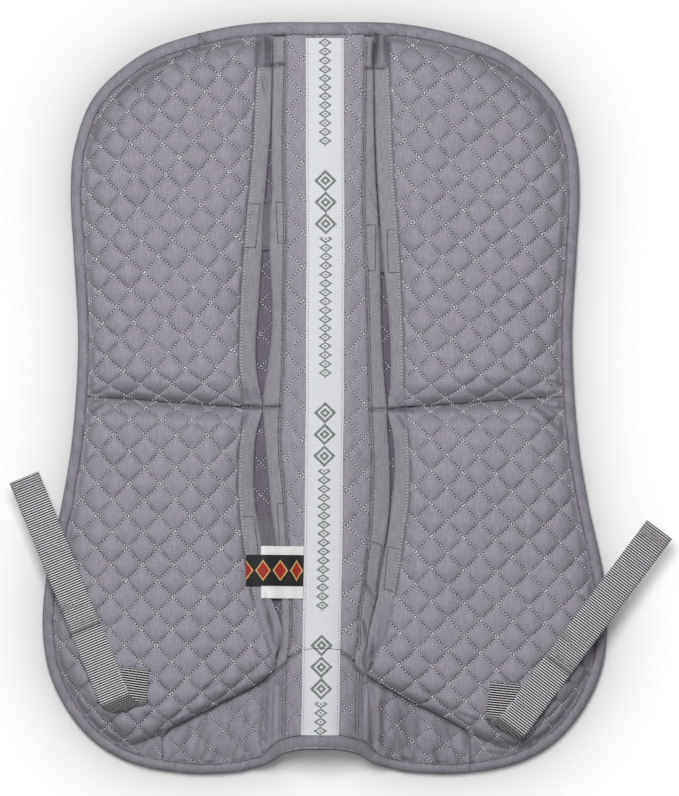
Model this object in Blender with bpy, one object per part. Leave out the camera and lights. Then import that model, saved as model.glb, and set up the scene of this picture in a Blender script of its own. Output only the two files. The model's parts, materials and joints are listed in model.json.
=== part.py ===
"""Quilted half pad with four memory foam inserts, hinged along its spine.

The pad lies on z = 0, top side up, its rear edge towards +Y. It is two mirrored halves that meet
under the spine tape. Every layer is a sheet cut to its outline from one diamond lattice, then
raised to the heights of its two faces, so neighbouring layers lie on each other exactly.
Sizes are in millimetres and become metres where a mesh is made.
"""

import math
from functools import lru_cache

import bpy
import bmesh
from mathutils import Matrix, Vector

MM = 0.001

# Quilting: the diamonds have 26 mm diagonals, so their corners and centres lie 13 mm apart.
PITCH = 13.0
LATTICE_CELLS = 44
PUFF = 1.4
SPINE_PUFF = 1.0
SPINE_PUFF_FADE = 6.0

# Thicknesses
BASE = 5.0
GAP = 0.3
COVER = 3.4
FACING = 1.2
FACING_LIFT = 0.7
FLAP = 1.8
TAPE = 0.9
WEBBING = 2.0
SEAT = 0.4
FOAM_CROWN = 14.2
MOUTH_LIFT = 7.5
MOUTH_RISE = 25.0
SEWN_LIFT = 1.5
DRAWN_IN = 26.0

# Edge binding: a folded tape round the edge, with the layers held in its channel
BINDING_WIDTH = 12.2
BINDING_HEIGHT = 9.5
BINDING_WALL = 0.9
BINDING_ROUND = 1.5
BINDING_GROOVE = 1.1
RIM_INSET = 1.4
RIM_LOW = 1.7
RIM_HIGH = 7.7
REBATE_INSET = BINDING_WIDTH + SEAT

# Plan outline of one half, rear centre to front centre, as (distance from the spine, y)
OUTLINE = [
    (0, 303.5), (60, 303), (110, 293), (150, 277), (186, 245), (202, 205), (205.5, 165),
    (203, 116), (199.6, 45), (204, -29), (213, -86), (225, -142), (228, -190), (219, -232),
    (193.5, -271), (158, -294), (112, -303), (72, -302), (48, -295), (28, -286), (0, -283),
]
OUTLINE_STEPS = 3

# Lines along the pad, as (y, distance from the spine)
STRIP_EDGE = [(310, 30), (290, 30), (140, 33), (0, 36), (-80, 35), (-150, 31), (-214, 28)]
SLOT = [(310, 41), (268, 41), (140, 45.5), (0, 50), (-80, 48.5), (-140, 44), (-200, 35)]
MOUTH_EDGE = [
    (310, 51.5), (265, 53.5), (212, 55.6), (161, 60), (95, 65), (45, 67), (0, 66),
    (-33, 67), (-91, 66), (-127, 64), (-163, 55.6), (-200, 43),
]
FACING_REAR_ROW = 285.0

# Lines across the pad, as (distance from the spine, y)
DIVIDER = [(20, -9), (50, -8), (105, -4.4), (190, 1.5), (230, 2.5)]
DIVIDER_STATIONS = (20, 50, 105, 150, 190, 215)
DIVIDER_PLAN = (75, 105, 150, 190)
DIVIDER_END = 200
WITHER_SEAM = [(0, -201), (14.5, -203), (28, -212), (40, -226), (68, -243), (91, -250), (125, -274)]

HALF_GAP = 0.15
SLOT_HALF = 4.0
REAR_MOUTH = (8.0, 268.0)
FRONT_MOUTH = (-190.0, -24.0)
FRONT_FLAP = (-162.0, -24.0)
STEP = 20.0

# Ridge of the spine: an arch under the pad that grows towards the withers
RIDGE_REAR = 12.0
RIDGE_SLOPE = 0.02
RIDGE_REAR_Y = 300.0
WITHER_RISE = 12.2
WITHER_START = -100.0
WITHER_LENGTH = 190.0
RIDGE_WIDTH = 66.0
RIDGE_WIDTH_FRONT = 61.0
SPINE_AXIS_DROP = 0.5

# Foam inserts
FOAM_INNER = 74.5
FOAM_OUTER_INSET = 24.0
FOAM_END = 13.0
FOAM_TRAVEL = 6.0
FOAM_FULLNESS = 0.86
FOAM_CLEARANCE = 1.5
FOAM_FRONT = [(140, -272), (128, -262), (92, -236), (74.5, -229)]

# Hook-and-loop closures across the mouths, as (side, low y, high y)
CLOSURES = {
    "rear_left": (-1, 120, 157),
    "rear_right": (1, 102, 137),
    "front_left": (-1, -131, -95),
    "front_right": (1, -158, -121),
}
PATCH = 1.0
TONGUE = 1.1
FLAP_CLEARANCE = 9.0
FLAP_OUTER = 14.3

# Flap hinges, as two (distance from the spine, y, z) points on each axis
FLAP_AXES = {
    "rear": ((69.8, 8.0, 16.7), (56.1, 268.0, 18.2)),
    "front": ((64.1, -162.0, 18.4), (68.5, -24.0, 16.8)),
}

# Spine tape
TAPE_HALF = 15.3
TAPE_FRONT = -268.0
TAPE_REAR = 289.5
TAPE_FLAT = 16.5
TAPE_LIFT = 0.6

# Labels caught under the left edge of the tape, as (y low, y high, reach, height above the flap)
LABELS = {"care_label": (-161, -119, 52, 0.8), "woven_label": (-151, -126, 64, 1.8)}
LABEL_COLUMNS = (16.2, 26.0, 36.0, 46.0)
LABEL_DIP = (34.0, 12.0)
LABEL_RISE = (52.0, 0.12)
LABEL_AXIS_LIFT = 2.4
LABEL = 0.5

# Straps, as fold line ends and the middle of the tip, each (x, y)
STRAPS = {
    "left": ((-178, -250), (-143, -246), (-242.6, -63.3), (-164, -139, -246.5, -215)),
    "right": ((131, -258.3), (157.7, -270.6), (269.5, -105.4), (129, 154, -261, -228)),
}
STRAP_WIDTH = 25.4
STRAP_START = 1.5
STRAP_SINGLE = 60.0
STRAP_FADE = 60.0
STRAP_Z = 27.9
STRAP_DROP = 0.026
STRAP_DOUBLE = 4.2
STRAP_AXIS_DROP = 0.6
HOOK_SPAN = (8.0, 60.0)
LOOP_SPAN = (66.0, 94.0)
STRAP_PATCH_WIDTH = 20.0
STRAP_PATCH = 1.2

# The straps' tips aren't mirrored, so the pad stands off the middle of the whole part's box.
PAD_OFFSET = (-12.8, 0.0)

# Slab levels before a sheet is raised to its heights
LEVEL = 10.0
REBATE_LEVEL = 6.0

COLOURS = {
    "quilt": ((0.297, 0.279, 0.314, 1), 0.9),
    "facing": ((0.287, 0.275, 0.305, 1), 0.85),
    "binding": ((0.291, 0.279, 0.318, 1), 0.85),
    "tape": ((0.694, 0.701, 0.723, 1), 0.8),
    "webbing": ((0.314, 0.291, 0.314, 1), 0.7),
    "foam": ((0.72, 0.66, 0.45, 1), 0.95),
    "hook": ((0.22, 0.21, 0.23, 1), 0.95),
    "label": ((0.72, 0.72, 0.72, 1), 0.8),
    "dark_label": ((0.012, 0.012, 0.014, 1), 0.6),
}


def clear_scene():
    for item in list(bpy.data.objects):
        bpy.data.objects.remove(item, do_unlink=True)


def new_collection(name):
    group = bpy.data.collections.new(name)
    bpy.context.scene.collection.children.link(group)
    return group


def smooth(t):
    t = min(1.0, max(0.0, t))
    return t * t * (3 - 2 * t)


def spline(before, start, end, after, t):
    """One Catmull-Rom value between start and end."""
    return 0.5 * (2 * start + (end - before) * t + (2 * before - 5 * start + 4 * end - after) * t * t
                  + (3 * start - before - 3 * end + after) * t ** 3)


def along(pairs, position):
    """Smooth value at a position of a line given as (position, value) pairs."""
    ordered = sorted(pairs)
    position = min(max(position, ordered[0][0]), ordered[-1][0])
    for index in range(len(ordered) - 1):
        (low, start), (high, end) = ordered[index], ordered[index + 1]
        if position <= high:
            t = (position - low) / (high - low)
            return start + (end - start) * (0.5 * t + 0.5 * smooth(t))
    return ordered[-1][1]


def plan_outline():
    """Dense points of the right half's outline, rear centre to front centre."""
    first, last = OUTLINE[1], OUTLINE[-2]
    points = [(-first[0], first[1])] + OUTLINE + [(-last[0], last[1])]
    path = []
    for index in range(1, len(points) - 2):
        for step in range(OUTLINE_STEPS):
            t = step / OUTLINE_STEPS
            four = points[index - 1:index + 3]
            path.append(tuple(spline(*(point[axis] for point in four), t) for axis in (0, 1)))
    path.append(OUTLINE[-1])
    return path


def inset(path, distance):
    """The half outline moved inwards by a distance; its ends stay on the spine."""
    moved = []
    for index, (x, y) in enumerate(path):
        before = path[index - 1] if index else (-path[1][0], path[1][1])
        after = path[index + 1] if index < len(path) - 1 else (-path[-2][0], path[-2][1])
        run = Vector((after[0] - before[0], after[1] - before[1])).normalized()
        moved.append((x + run.y * distance, y - run.x * distance))
    return moved


def crossing_x(path, y):
    """Distance from the spine where the side of a path has this y."""
    for (x0, y0), (x1, y1) in zip(path, path[1:]):
        if y0 >= y >= y1:
            return x0 + (x1 - x0) * (y0 - y) / (y0 - y1)
    return path[-1][0]


def crossing_y(path, x, rear):
    """y where the rear or front end of a path has this distance from the spine."""
    half = [point for point in path if (point[1] > 0) == rear]
    for (x0, y0), (x1, y1) in zip(half, half[1:]):
        if min(x0, x1) <= x <= max(x0, x1):
            return y0 + (y1 - y0) * (x - x0) / (x1 - x0)
    return half[0][1]


EDGE_PATH = plan_outline()
RIM = inset(EDGE_PATH, RIM_INSET)
BOUND_LINE = inset(EDGE_PATH, REBATE_INSET)
FOAM_LINE = inset(EDGE_PATH, FOAM_OUTER_INSET)
BOUND_FRONT = min(y for _, y in BOUND_LINE)
BOUND_REAR = max(y for _, y in BOUND_LINE)


def ridge(x, y):
    """Height of the pad's underside above the ground."""
    forward = smooth((WITHER_START - y) / WITHER_LENGTH)
    height = RIDGE_REAR + RIDGE_SLOPE * (RIDGE_REAR_Y - y) + WITHER_RISE * forward
    width = RIDGE_WIDTH + (RIDGE_WIDTH_FRONT - RIDGE_WIDTH) * forward
    part = min(1.0, abs(x) / width)
    return height * (1 - part * part) ** 2


def on_lattice(function, x, y):
    """Value of a function taken at the diamonds' corners and centres and flat in between."""
    column, row = math.floor(x / PITCH), math.floor(y / PITCH)
    across, forward = x / PITCH - column, y / PITCH - row

    def at(i, j):
        return function((column + i) * PITCH, (row + j) * PITCH)

    if (column + row) % 2 == 0:
        if across > forward:
            return at(0, 0) + across * (at(1, 0) - at(0, 0)) + forward * (at(1, 1) - at(1, 0))
        return at(0, 0) + forward * (at(0, 1) - at(0, 0)) + across * (at(1, 1) - at(0, 1))
    if across + forward < 1:
        return at(0, 0) + across * (at(1, 0) - at(0, 0)) + forward * (at(0, 1) - at(0, 0))
    return at(1, 1) + (1 - across) * (at(0, 1) - at(1, 1)) + (1 - forward) * (at(1, 0) - at(1, 1))


@lru_cache(maxsize=None)
def ground(x, y):
    """Underside height on the lattice."""
    return on_lattice(ridge, x, y)


def pillow(x, y):
    """Quilting: one at a diamond's centre, nothing along its seams."""
    return on_lattice(lambda u, v: (round(u / PITCH) + round(v / PITCH)) % 2, x, y)


def distance_to_line(x, y, line):
    nearest = math.inf
    point = Vector((x, y))
    for start, end in zip(line, line[1:]):
        a, b = Vector(start), Vector(end)
        run = b - a
        t = min(1.0, max(0.0, (point - a).dot(run) / max(run.length_squared, 1e-9)))
        nearest = min(nearest, (a + run * t - point).length)
    return nearest


DIVIDER_LINE = [(x, along(DIVIDER, x)) for x in DIVIDER_STATIONS]
WITHER_TIP = WITHER_SEAM[-1][0]


def inside_bound_line(x, y):
    """Distance from the binding's inner edge, nothing under the binding."""
    if not BOUND_FRONT < y < BOUND_REAR or x > crossing_x(BOUND_LINE, y):
        return 0.0
    ends = [crossing_y(BOUND_LINE, x, rear) for rear in (False, True)]
    if x < RIDGE_WIDTH and not ends[0] <= y <= ends[1]:
        return 0.0
    return distance_to_line(x, y, BOUND_LINE)


@lru_cache(maxsize=None)
def sewn_distance(x, y):
    """Distance from the nearest line where a pocket panel is sewn down."""
    near = min(inside_bound_line(x, y), distance_to_line(x, y, DIVIDER_LINE))
    if y < 0:
        tip_line = [(WITHER_TIP, WITHER_SEAM[-1][1]), (WITHER_TIP, -300)]
        near = min(near, distance_to_line(x, y, WITHER_SEAM), distance_to_line(x, y, tip_line))
    return near


def crown(x, y):
    """Rise of a pocket panel over its foam, drawn in at its sewn edges."""
    x = abs(x)
    edge = along(MOUTH_EDGE, y)
    past = x - edge
    if past > 0:
        rise = math.sin(math.pi / 2 * min(1.0, past / MOUTH_RISE))
        lift = MOUTH_LIFT + (FOAM_CROWN - MOUTH_LIFT) * rise
    else:
        t = min(1.0, -past / (edge - along(SLOT, y)))
        lift = MOUTH_LIFT + (SEWN_LIFT - MOUTH_LIFT) * t
    part = min(1.0, sewn_distance(x, y) / DRAWN_IN)
    return lift * math.sqrt(1 - (1 - part) ** 2)


def base_bottom(x, y):
    return ground(x, y)


def base_rebate(x, y):
    return ground(x, y) + RIM_LOW


def base_top(x, y):
    return ground(x, y) + BASE


def layer_bottom(x, y):
    return ground(x, y) + BASE + GAP


def layer_rebate(x, y):
    return ground(x, y) + RIM_HIGH


def spine_top(x, y):
    shown = smooth((abs(x) - TAPE_FLAT) / SPINE_PUFF_FADE)
    return layer_bottom(x, y) + COVER + SPINE_PUFF * pillow(x, y) * shown


def facing_top(x, y):
    return base_top(x, y) + FACING_LIFT + FACING


def panel_bottom(x, y):
    return layer_bottom(x, y) + crown(x, y)


def panel_top(x, y):
    fade = min(1.0, sewn_distance(abs(x), y) / PITCH)
    fade *= min(1.0, max(0.0, abs(x) - along(MOUTH_EDGE, y)) / PITCH)
    return panel_bottom(x, y) + COVER + PUFF * pillow(x, y) * fade


def foam_top(x, y):
    side = math.copysign(1, x)
    rise = min(crown(x, y), crown(x - side * FOAM_TRAVEL, y))
    return layer_bottom(x, y) + FOAM_FULLNESS * rise - FOAM_CLEARANCE


def flap_bottom(x, y):
    inner, outer = along(SLOT, y) + SLOT_HALF, along(MOUTH_EDGE, y)
    t = min(1.0, max(0.0, (abs(x) - inner) / (outer - inner)))
    return (ground(inner, y) + FLAP_CLEARANCE) * (1 - t) + FLAP_OUTER * t


def mirrored(points, side):
    """The same plan outline on the left or right half."""
    return points if side > 0 else [(-x, y) for x, y in reversed(points)]


def stations(low, high):
    count = max(1, round((high - low) / STEP))
    return [low + (high - low) * index / count for index in range(count + 1)]


def make_material(name):
    colour, roughness = COLOURS[name]
    material = bpy.data.materials.get(name) or bpy.data.materials.new(name)
    material.use_nodes = True
    shader = material.node_tree.nodes["Principled BSDF"]
    shader.inputs["Base Color"].default_value = colour
    shader.inputs["Roughness"].default_value = roughness
    shader.inputs["Metallic"].default_value = 0.0
    material.diffuse_color = colour
    return material


def add_object(name, bm, material, group):
    mesh = bpy.data.meshes.new(name)
    bm.to_mesh(mesh)
    bm.free()
    item = bpy.data.objects.new(name, mesh)
    group.objects.link(item)
    if material:
        mesh.materials.append(make_material(material))
    return item


def add_cutter(name, bm):
    """A cutting solid, hidden from renders."""
    bmesh.ops.recalc_face_normals(bm, faces=bm.faces)
    item = add_object(name, bm, None, CUTTERS)
    item.hide_render = True
    item.display_type = "WIRE"
    return item


def extrude_plan(bm, faces, low, high):
    """Raise flat faces at the low level into a solid up to the high level."""
    for vertex in bm.verts:
        vertex.co.z = low * MM
    result = bmesh.ops.extrude_face_region(bm, geom=faces)
    top = [part for part in result["geom"] if isinstance(part, bmesh.types.BMVert)]
    bmesh.ops.translate(bm, verts=top, vec=(0, 0, (high - low) * MM))


def outline_cutter(name, points):
    bm = bmesh.new()
    corners = [bm.verts.new((x * MM, y * MM, 0)) for x, y in points]
    extrude_plan(bm, [bm.faces.new(corners)], -2 * LEVEL, 2 * LEVEL)
    return add_cutter(name, bm)


def ring_cutter(name, side, low, high):
    """A band over the rim of one half, as wide as the binding reaches."""
    bm = bmesh.new()
    loops = []
    for path in (inset(EDGE_PATH, -RIM_INSET), BOUND_LINE):
        ends = [(-PITCH, path[0][1])] + path[1:-1] + [(-PITCH, path[-1][1])]
        loops.append([bm.verts.new((side * x * MM, y * MM, 0)) for x, y in ends])
    edges = [bm.edges.new(pair) for loop in loops for pair in zip(loop, loop[1:])]
    bridged = bmesh.ops.bridge_loops(bm, edges=edges)
    extrude_plan(bm, bridged["faces"], low, high)
    return add_cutter(name, bm)


def lattice_slab(points, coarse):
    """The diamonds that an outline covers, each split in four at its centre, as a flat slab."""
    bm = bmesh.new()
    side = PITCH * coarse * math.sqrt(2) * MM
    cells = LATTICE_CELLS // coarse
    bmesh.ops.create_grid(bm, x_segments=cells, y_segments=cells, size=cells * side / 2,
                          matrix=Matrix.Rotation(math.pi / 4, 4, "Z"))
    margin = 1.5 * PITCH * coarse
    low_x, high_x = min(p[0] for p in points) - margin, max(p[0] for p in points) + margin
    low_y, high_y = min(p[1] for p in points) - margin, max(p[1] for p in points) + margin
    spare = []
    for face in bm.faces:
        centre = face.calc_center_median() / MM
        if not (low_x < centre.x < high_x and low_y < centre.y < high_y):
            spare.append(face)
    bmesh.ops.delete(bm, geom=spare, context="FACES")
    bmesh.ops.poke(bm, faces=bm.faces)
    extrude_plan(bm, bm.faces[:], -LEVEL, LEVEL)
    bmesh.ops.recalc_face_normals(bm, faces=bm.faces)
    return bm


def cut(item, cutter, operation):
    modifier = item.modifiers.new(cutter.name, "BOOLEAN")
    modifier.operation = operation
    modifier.solver = "EXACT"
    modifier.object = cutter


def evaluated_bmesh(item):
    bpy.context.view_layer.update()
    shape = item.evaluated_get(bpy.context.evaluated_depsgraph_get())
    bm = bmesh.new()
    bm.from_mesh(shape.data)
    bmesh.ops.remove_doubles(bm, verts=bm.verts, dist=0.00001)
    return bm


def join_level_faces(bm):
    """Dissolve the lattice where a face of the sheet is level, and keep it everywhere else."""
    bm.normal_update()
    level = [edge for edge in bm.edges if edge.is_manifold
             and all(abs(face.normal.z) > 0.9999999 for face in edge.link_faces)]
    bmesh.ops.dissolve_edges(bm, edges=level, use_verts=True, use_face_split=False)


def sheet(name, material, points, bottom, top, low_rebate=None, high_rebate=None, side=1, coarse=1):
    """A layer of the pad: a lattice slab cut to its outline, then raised to its two faces."""
    plan = mirrored(points, side)
    item = add_object(name, lattice_slab(plan, coarse), material, PAD)
    cut(item, outline_cutter(name + "_outline", plan), "INTERSECT")
    if low_rebate:
        ring = ring_cutter(name + "_low_rim", side, -2 * LEVEL, -REBATE_LEVEL)
        cut(item, ring, "DIFFERENCE")
    if high_rebate:
        ring = ring_cutter(name + "_high_rim", side, REBATE_LEVEL, 2 * LEVEL)
        cut(item, ring, "DIFFERENCE")
    bm = evaluated_bmesh(item)
    item.modifiers.clear()
    split = (LEVEL + REBATE_LEVEL) / 2
    for vertex in bm.verts:
        x, y, level = vertex.co / MM
        if level > 0:
            height = top if level > split else high_rebate
        else:
            height = bottom if level < -split else low_rebate
        vertex.co.z = height(x, y) * MM
    join_level_faces(bm)
    bmesh.ops.triangulate(bm, faces=[face for face in bm.faces if len(face.verts) > 3])
    bmesh.ops.recalc_face_normals(bm, faces=bm.faces)
    bm.to_mesh(item.data)
    bm.free()
    return item


def strip(name, material, rows, columns, bottom, thickness, side=1):
    """A plain band: a grid bent to the given lines, then thickened upwards.

    rows are y positions and columns are functions of y that give distances from the spine.
    """
    bm = bmesh.new()
    bmesh.ops.create_grid(bm, x_segments=len(columns) - 1, y_segments=len(rows) - 1, size=1)
    for vertex in bm.verts:
        column = round((vertex.co.x + 1) / 2 * (len(columns) - 1))
        row = round((vertex.co.y + 1) / 2 * (len(rows) - 1))
        y = rows[row]
        x = side * columns[column](y)
        vertex.co = (x * MM, y * MM, bottom(x, y) * MM)
    raised = bmesh.ops.extrude_face_region(bm, geom=bm.faces[:])
    top = [part for part in raised["geom"] if isinstance(part, bmesh.types.BMVert)]
    bmesh.ops.translate(bm, verts=top, vec=(0, 0, thickness * MM))
    bmesh.ops.recalc_face_normals(bm, faces=bm.faces)
    return add_object(name, bm, material, PAD)


def base_outline():
    path = [point for point in RIM if point[0] > HALF_GAP]
    return [(HALF_GAP, RIM[0][1])] + path + [(HALF_GAP, RIM[-1][1])]


def rim_rear(low, high):
    """Rim points of the rear edge between two distances from the spine."""
    return [point for point in RIM if point[1] > 0 and low < point[0] < high]


def spine_outline():
    low = along(WITHER_SEAM, 28) + GAP
    edge = [(along(STRIP_EDGE, y), y) for y in stations(low, FACING_REAR_ROW)]
    rear = rim_rear(HALF_GAP, STRIP_EDGE[0][1])
    seam = [(x, y + GAP) for x, y in WITHER_SEAM if HALF_GAP < x < 27]
    corner = [(STRIP_EDGE[0][1], crossing_y(RIM, STRIP_EDGE[0][1], True))]
    return [(HALF_GAP, RIM[0][1])] + rear + corner + edge[::-1] + seam[::-1] + [(HALF_GAP, -201 + GAP)]


def facing_edge(y):
    """Outer edge of the inner facing: it closes on the pocket panel where the slot is sewn shut."""
    open_rear = REAR_MOUTH[0] < y < REAR_MOUTH[1]
    open_front = FRONT_MOUTH[0] <= y < FRONT_MOUTH[1]
    return along(SLOT, y) - (SLOT_HALF if open_rear or open_front else GAP)


def facing_bottom(x, y):
    return base_top(x, y) + FACING_LIFT


def panel_rear_outline():
    low, high = REAR_MOUTH
    start = along(DIVIDER, 50) + GAP
    rear_x = SLOT[0][1] + GAP
    inner = [(along(SLOT, y) + GAP, y) for y in stations(start, low)]
    inner += [(along(MOUTH_EDGE, y) + SEAT, y) for y in stations(low, high)]
    inner += [(rear_x, high), (rear_x, crossing_y(RIM, rear_x, True))]
    end_y = along(DIVIDER, DIVIDER_END) + GAP
    rim = [point for point in RIM if point[0] > rear_x and point[1] > end_y]
    seam = [(x, along(DIVIDER, x) + GAP) for x in DIVIDER_PLAN[::-1]]
    return inner + rim + [(crossing_x(RIM, end_y), end_y)] + seam


def panel_front_outline():
    low, high = FRONT_FLAP
    start = along(DIVIDER, 50) - GAP
    end_y = along(DIVIDER, DIVIDER_END) - GAP
    tip_x = WITHER_TIP + GAP
    inner = [(along(SLOT, y) + GAP, y) for y in stations(high, start)]
    inner = [(along(MOUTH_EDGE, y) + SEAT, y) for y in stations(low, high)] + inner
    inner = [(along(SLOT, y) + SLOT_HALF, y) for y in stations(FRONT_MOUTH[0], low)] + inner
    seam = [(x, y + GAP) for x, y in WITHER_SEAM if 30 < x < WITHER_TIP]
    corner = [(tip_x, crossing_y(RIM, tip_x, False)), (tip_x, WITHER_SEAM[-1][1] + GAP)]
    neck_y = FRONT_MOUTH[0] - GAP
    strip_x = along(STRIP_EDGE, neck_y) + GAP
    neck = [(28.5, along(WITHER_SEAM, 28) + GAP), (strip_x, neck_y)]
    rim = [point for point in RIM if point[1] < end_y and (point[0] > tip_x)]
    across = [(x, along(DIVIDER, x) - GAP) for x in DIVIDER_PLAN]
    rear = [(crossing_x(RIM, end_y), end_y)]
    return inner + across + rear + rim + corner + seam[::-1] + neck


def wither_outline():
    seam = [(x, y - GAP) for x, y in WITHER_SEAM if 0 < x < WITHER_TIP]
    tip_x = WITHER_TIP - GAP
    tip = [(tip_x, WITHER_SEAM[-1][1] - GAP), (tip_x, crossing_y(RIM, tip_x, False))]
    rim = [point for point in RIM if point[1] < -200 and HALF_GAP < point[0] < tip_x]
    return [(HALF_GAP, -201 - GAP)] + seam + tip + rim + [(HALF_GAP, RIM[-1][1])]


def foam_rear_outline():
    low = along(DIVIDER, FOAM_INNER) + FOAM_END
    end_y = along(DIVIDER, 180) + FOAM_END
    side = [point for point in FOAM_LINE if point[0] > FOAM_INNER and point[1] > end_y]
    first = [(FOAM_INNER, low), (FOAM_INNER, crossing_y(FOAM_LINE, FOAM_INNER, True))]
    return first + side + [(crossing_x(FOAM_LINE, end_y), end_y)]


def foam_front_outline():
    high = along(DIVIDER, FOAM_INNER) - FOAM_END
    end_y = along(DIVIDER, 180) - FOAM_END
    limit = FOAM_FRONT[0][0]
    side = [point for point in FOAM_LINE if point[0] > limit and point[1] < end_y]
    return [(FOAM_INNER, high), (crossing_x(FOAM_LINE, end_y), end_y)] + side + FOAM_FRONT


def make_layers(side, word):
    """The flat layers of one half."""
    sheet(f"base_panel_{word}", "quilt", base_outline(), base_bottom, base_top,
          low_rebate=base_rebate, side=side)
    sheet(f"spine_panel_{word}", "quilt", spine_outline(), layer_bottom, spine_top,
          high_rebate=layer_rebate, side=side)
    rows = stations(FRONT_MOUTH[0], FRONT_MOUTH[1]) + [FRONT_MOUTH[1] + 1]
    rows += stations(REAR_MOUTH[0] - 1, REAR_MOUTH[0]) + stations(REAR_MOUTH[0] + 1, REAR_MOUTH[1] - 1)
    rows += [REAR_MOUTH[1], FACING_REAR_ROW, RIM[0][1] - SEAT]
    columns = [lambda y: along(STRIP_EDGE, y) + GAP, facing_edge]
    strip(f"inner_facing_{word}", "facing", rows, columns, facing_bottom, FACING, side)
    sheet(f"wither_panel_{word}", "quilt", wither_outline(), layer_bottom, spine_top,
          high_rebate=layer_rebate, side=side)
    for end, outline in (("rear", panel_rear_outline()), ("front", panel_front_outline())):
        sheet(f"pocket_panel_{end}_{word}", "quilt", outline, panel_bottom, panel_top,
              high_rebate=layer_rebate, side=side)


def make_inserts(side, word):
    """Memory foam in the two pockets of one half; each can shift towards its mouth."""
    for end, outline in (("rear", foam_rear_outline()), ("front", foam_front_outline())):
        name = f"foam_insert_{end}_{word}"
        item = sheet(name, "foam", outline, layer_bottom, foam_top, side=side, coarse=2)
        middle = sum(point[1] for point in outline) / len(outline)
        pivot(name + "_slide", (side * FOAM_INNER, middle, BASE), [item])


def make_binding(side, word):
    """Folded tape round the edge of one half: a channel profile carried along the outline."""
    wall, top, reach, turn = BINDING_WALL, BINDING_HEIGHT, BINDING_WIDTH, BINDING_ROUND
    groove = BINDING_GROOVE
    profile = [
        (reach, 0), (turn, 0), (0, turn), (0, top - turn), (turn, top), (reach, top),
        (reach, top - wall), (groove, top - wall), (groove, wall), (reach, wall),
    ]
    wanted = []
    for index, point in enumerate(EDGE_PATH):
        wanted.append(index)
        if point[0] < RIDGE_WIDTH and point[1] < 0 and index < len(EDGE_PATH) - 1:
            wanted.append(index + 0.5)
    paths = {depth: inset(EDGE_PATH, depth) for depth, _ in profile}
    bm = bmesh.new()
    rings = []
    for index in wanted:
        ring = []
        for depth, height in profile:
            low, high = paths[depth][math.floor(index)], paths[depth][math.ceil(index)]
            x, y = (low[0] + high[0]) / 2, (low[1] + high[1]) / 2
            x = side * max(x, HALF_GAP)
            ring.append(bm.verts.new((x * MM, y * MM, (ground(x, y) + height) * MM)))
        rings.append(ring)
    for first, second in zip(rings, rings[1:]):
        for corner in range(len(profile)):
            after = (corner + 1) % len(profile)
            bm.faces.new((first[corner], first[after], second[after], second[corner]))
    for ring in (rings[0], rings[-1]):
        bm.faces.new(ring)
    bmesh.ops.recalc_face_normals(bm, faces=bm.faces)
    add_object(f"edge_binding_{word}", bm, "binding", PAD)


def slot_inner(y):
    return along(SLOT, y) + SLOT_HALF


def make_mouths(side, word):
    """Flaps, closure tongues and patches of the two pocket mouths of one half."""
    for end, (low, high) in (("rear", REAR_MOUTH), ("front", FRONT_FLAP)):
        rows = stations(low + SEAT, high - SEAT)
        columns = [slot_inner, lambda y: (slot_inner(y) + along(MOUTH_EDGE, y)) / 2,
                   lambda y: along(MOUTH_EDGE, y)]
        flap = strip(f"mouth_flap_{end}_{word}", "facing", rows, columns, flap_bottom, FLAP, side)
        _, start, stop = CLOSURES[f"{end}_{word}"]
        rows = stations(start, stop)
        columns = [lambda y: slot_inner(y) + 1, lambda y: along(MOUTH_EDGE, y) - 2]
        patch = strip(f"closure_patch_{end}_{word}", "hook", rows, columns,
                      lambda x, y: flap_bottom(x, y) - SEAT - PATCH, PATCH, side)
        columns = [lambda y: along(STRIP_EDGE, y) + 1, lambda y: along(SLOT, y) - SLOT_HALF,
                   lambda y: slot_inner(y) - 1, lambda y: along(MOUTH_EDGE, y) - 3]
        strip(f"closure_tongue_{end}_{word}", "facing", rows, columns, tongue_bottom, TONGUE, side)
        near, far = (Vector((side * x, y, z)) for x, y, z in FLAP_AXES[end])
        hinge(f"flap_{end}_{word}_hinge", near, far, [flap, patch])


def tongue_bottom(x, y):
    """On the inner facing, then across the mouth and under the flap's patch."""
    slot = along(SLOT, y)
    over_facing = facing_top(x, y) + SEAT
    under_flap = flap_bottom(x, y) - 2 * SEAT - PATCH - TONGUE
    t = smooth((abs(x) - (slot - SLOT_HALF)) / (2 * SLOT_HALF - 1))
    return over_facing * (1 - t) + under_flap * t


def tape_bottom(x, y):
    return layer_bottom(x, y) + COVER + TAPE_LIFT


def make_tape():
    rows = [PITCH * n for n in range(-20, 23) if n < -8 or n % 2 == 0]
    rows = [TAPE_FRONT] + rows + [TAPE_REAR]
    columns = [lambda y, x=x: x for x in (-TAPE_HALF, -PITCH, 0, PITCH, TAPE_HALF)]
    strip("spine_tape", "tape", rows, columns, tape_bottom, TAPE)


def label_bottom(lift):
    """Height of a label that lies on the spine panel, then on the flap, then over the pad."""
    def height(x, y):
        spine = layer_bottom(x, y) + COVER + SPINE_PUFF + GAP
        flap = flap_bottom(x, y) + FLAP
        t = smooth((abs(x) - LABEL_DIP[0]) / LABEL_DIP[1])
        over_panel = max(0.0, abs(x) - LABEL_RISE[0]) * LABEL_RISE[1]
        return spine * (1 - t) + flap * t + lift + over_panel
    return height


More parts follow.
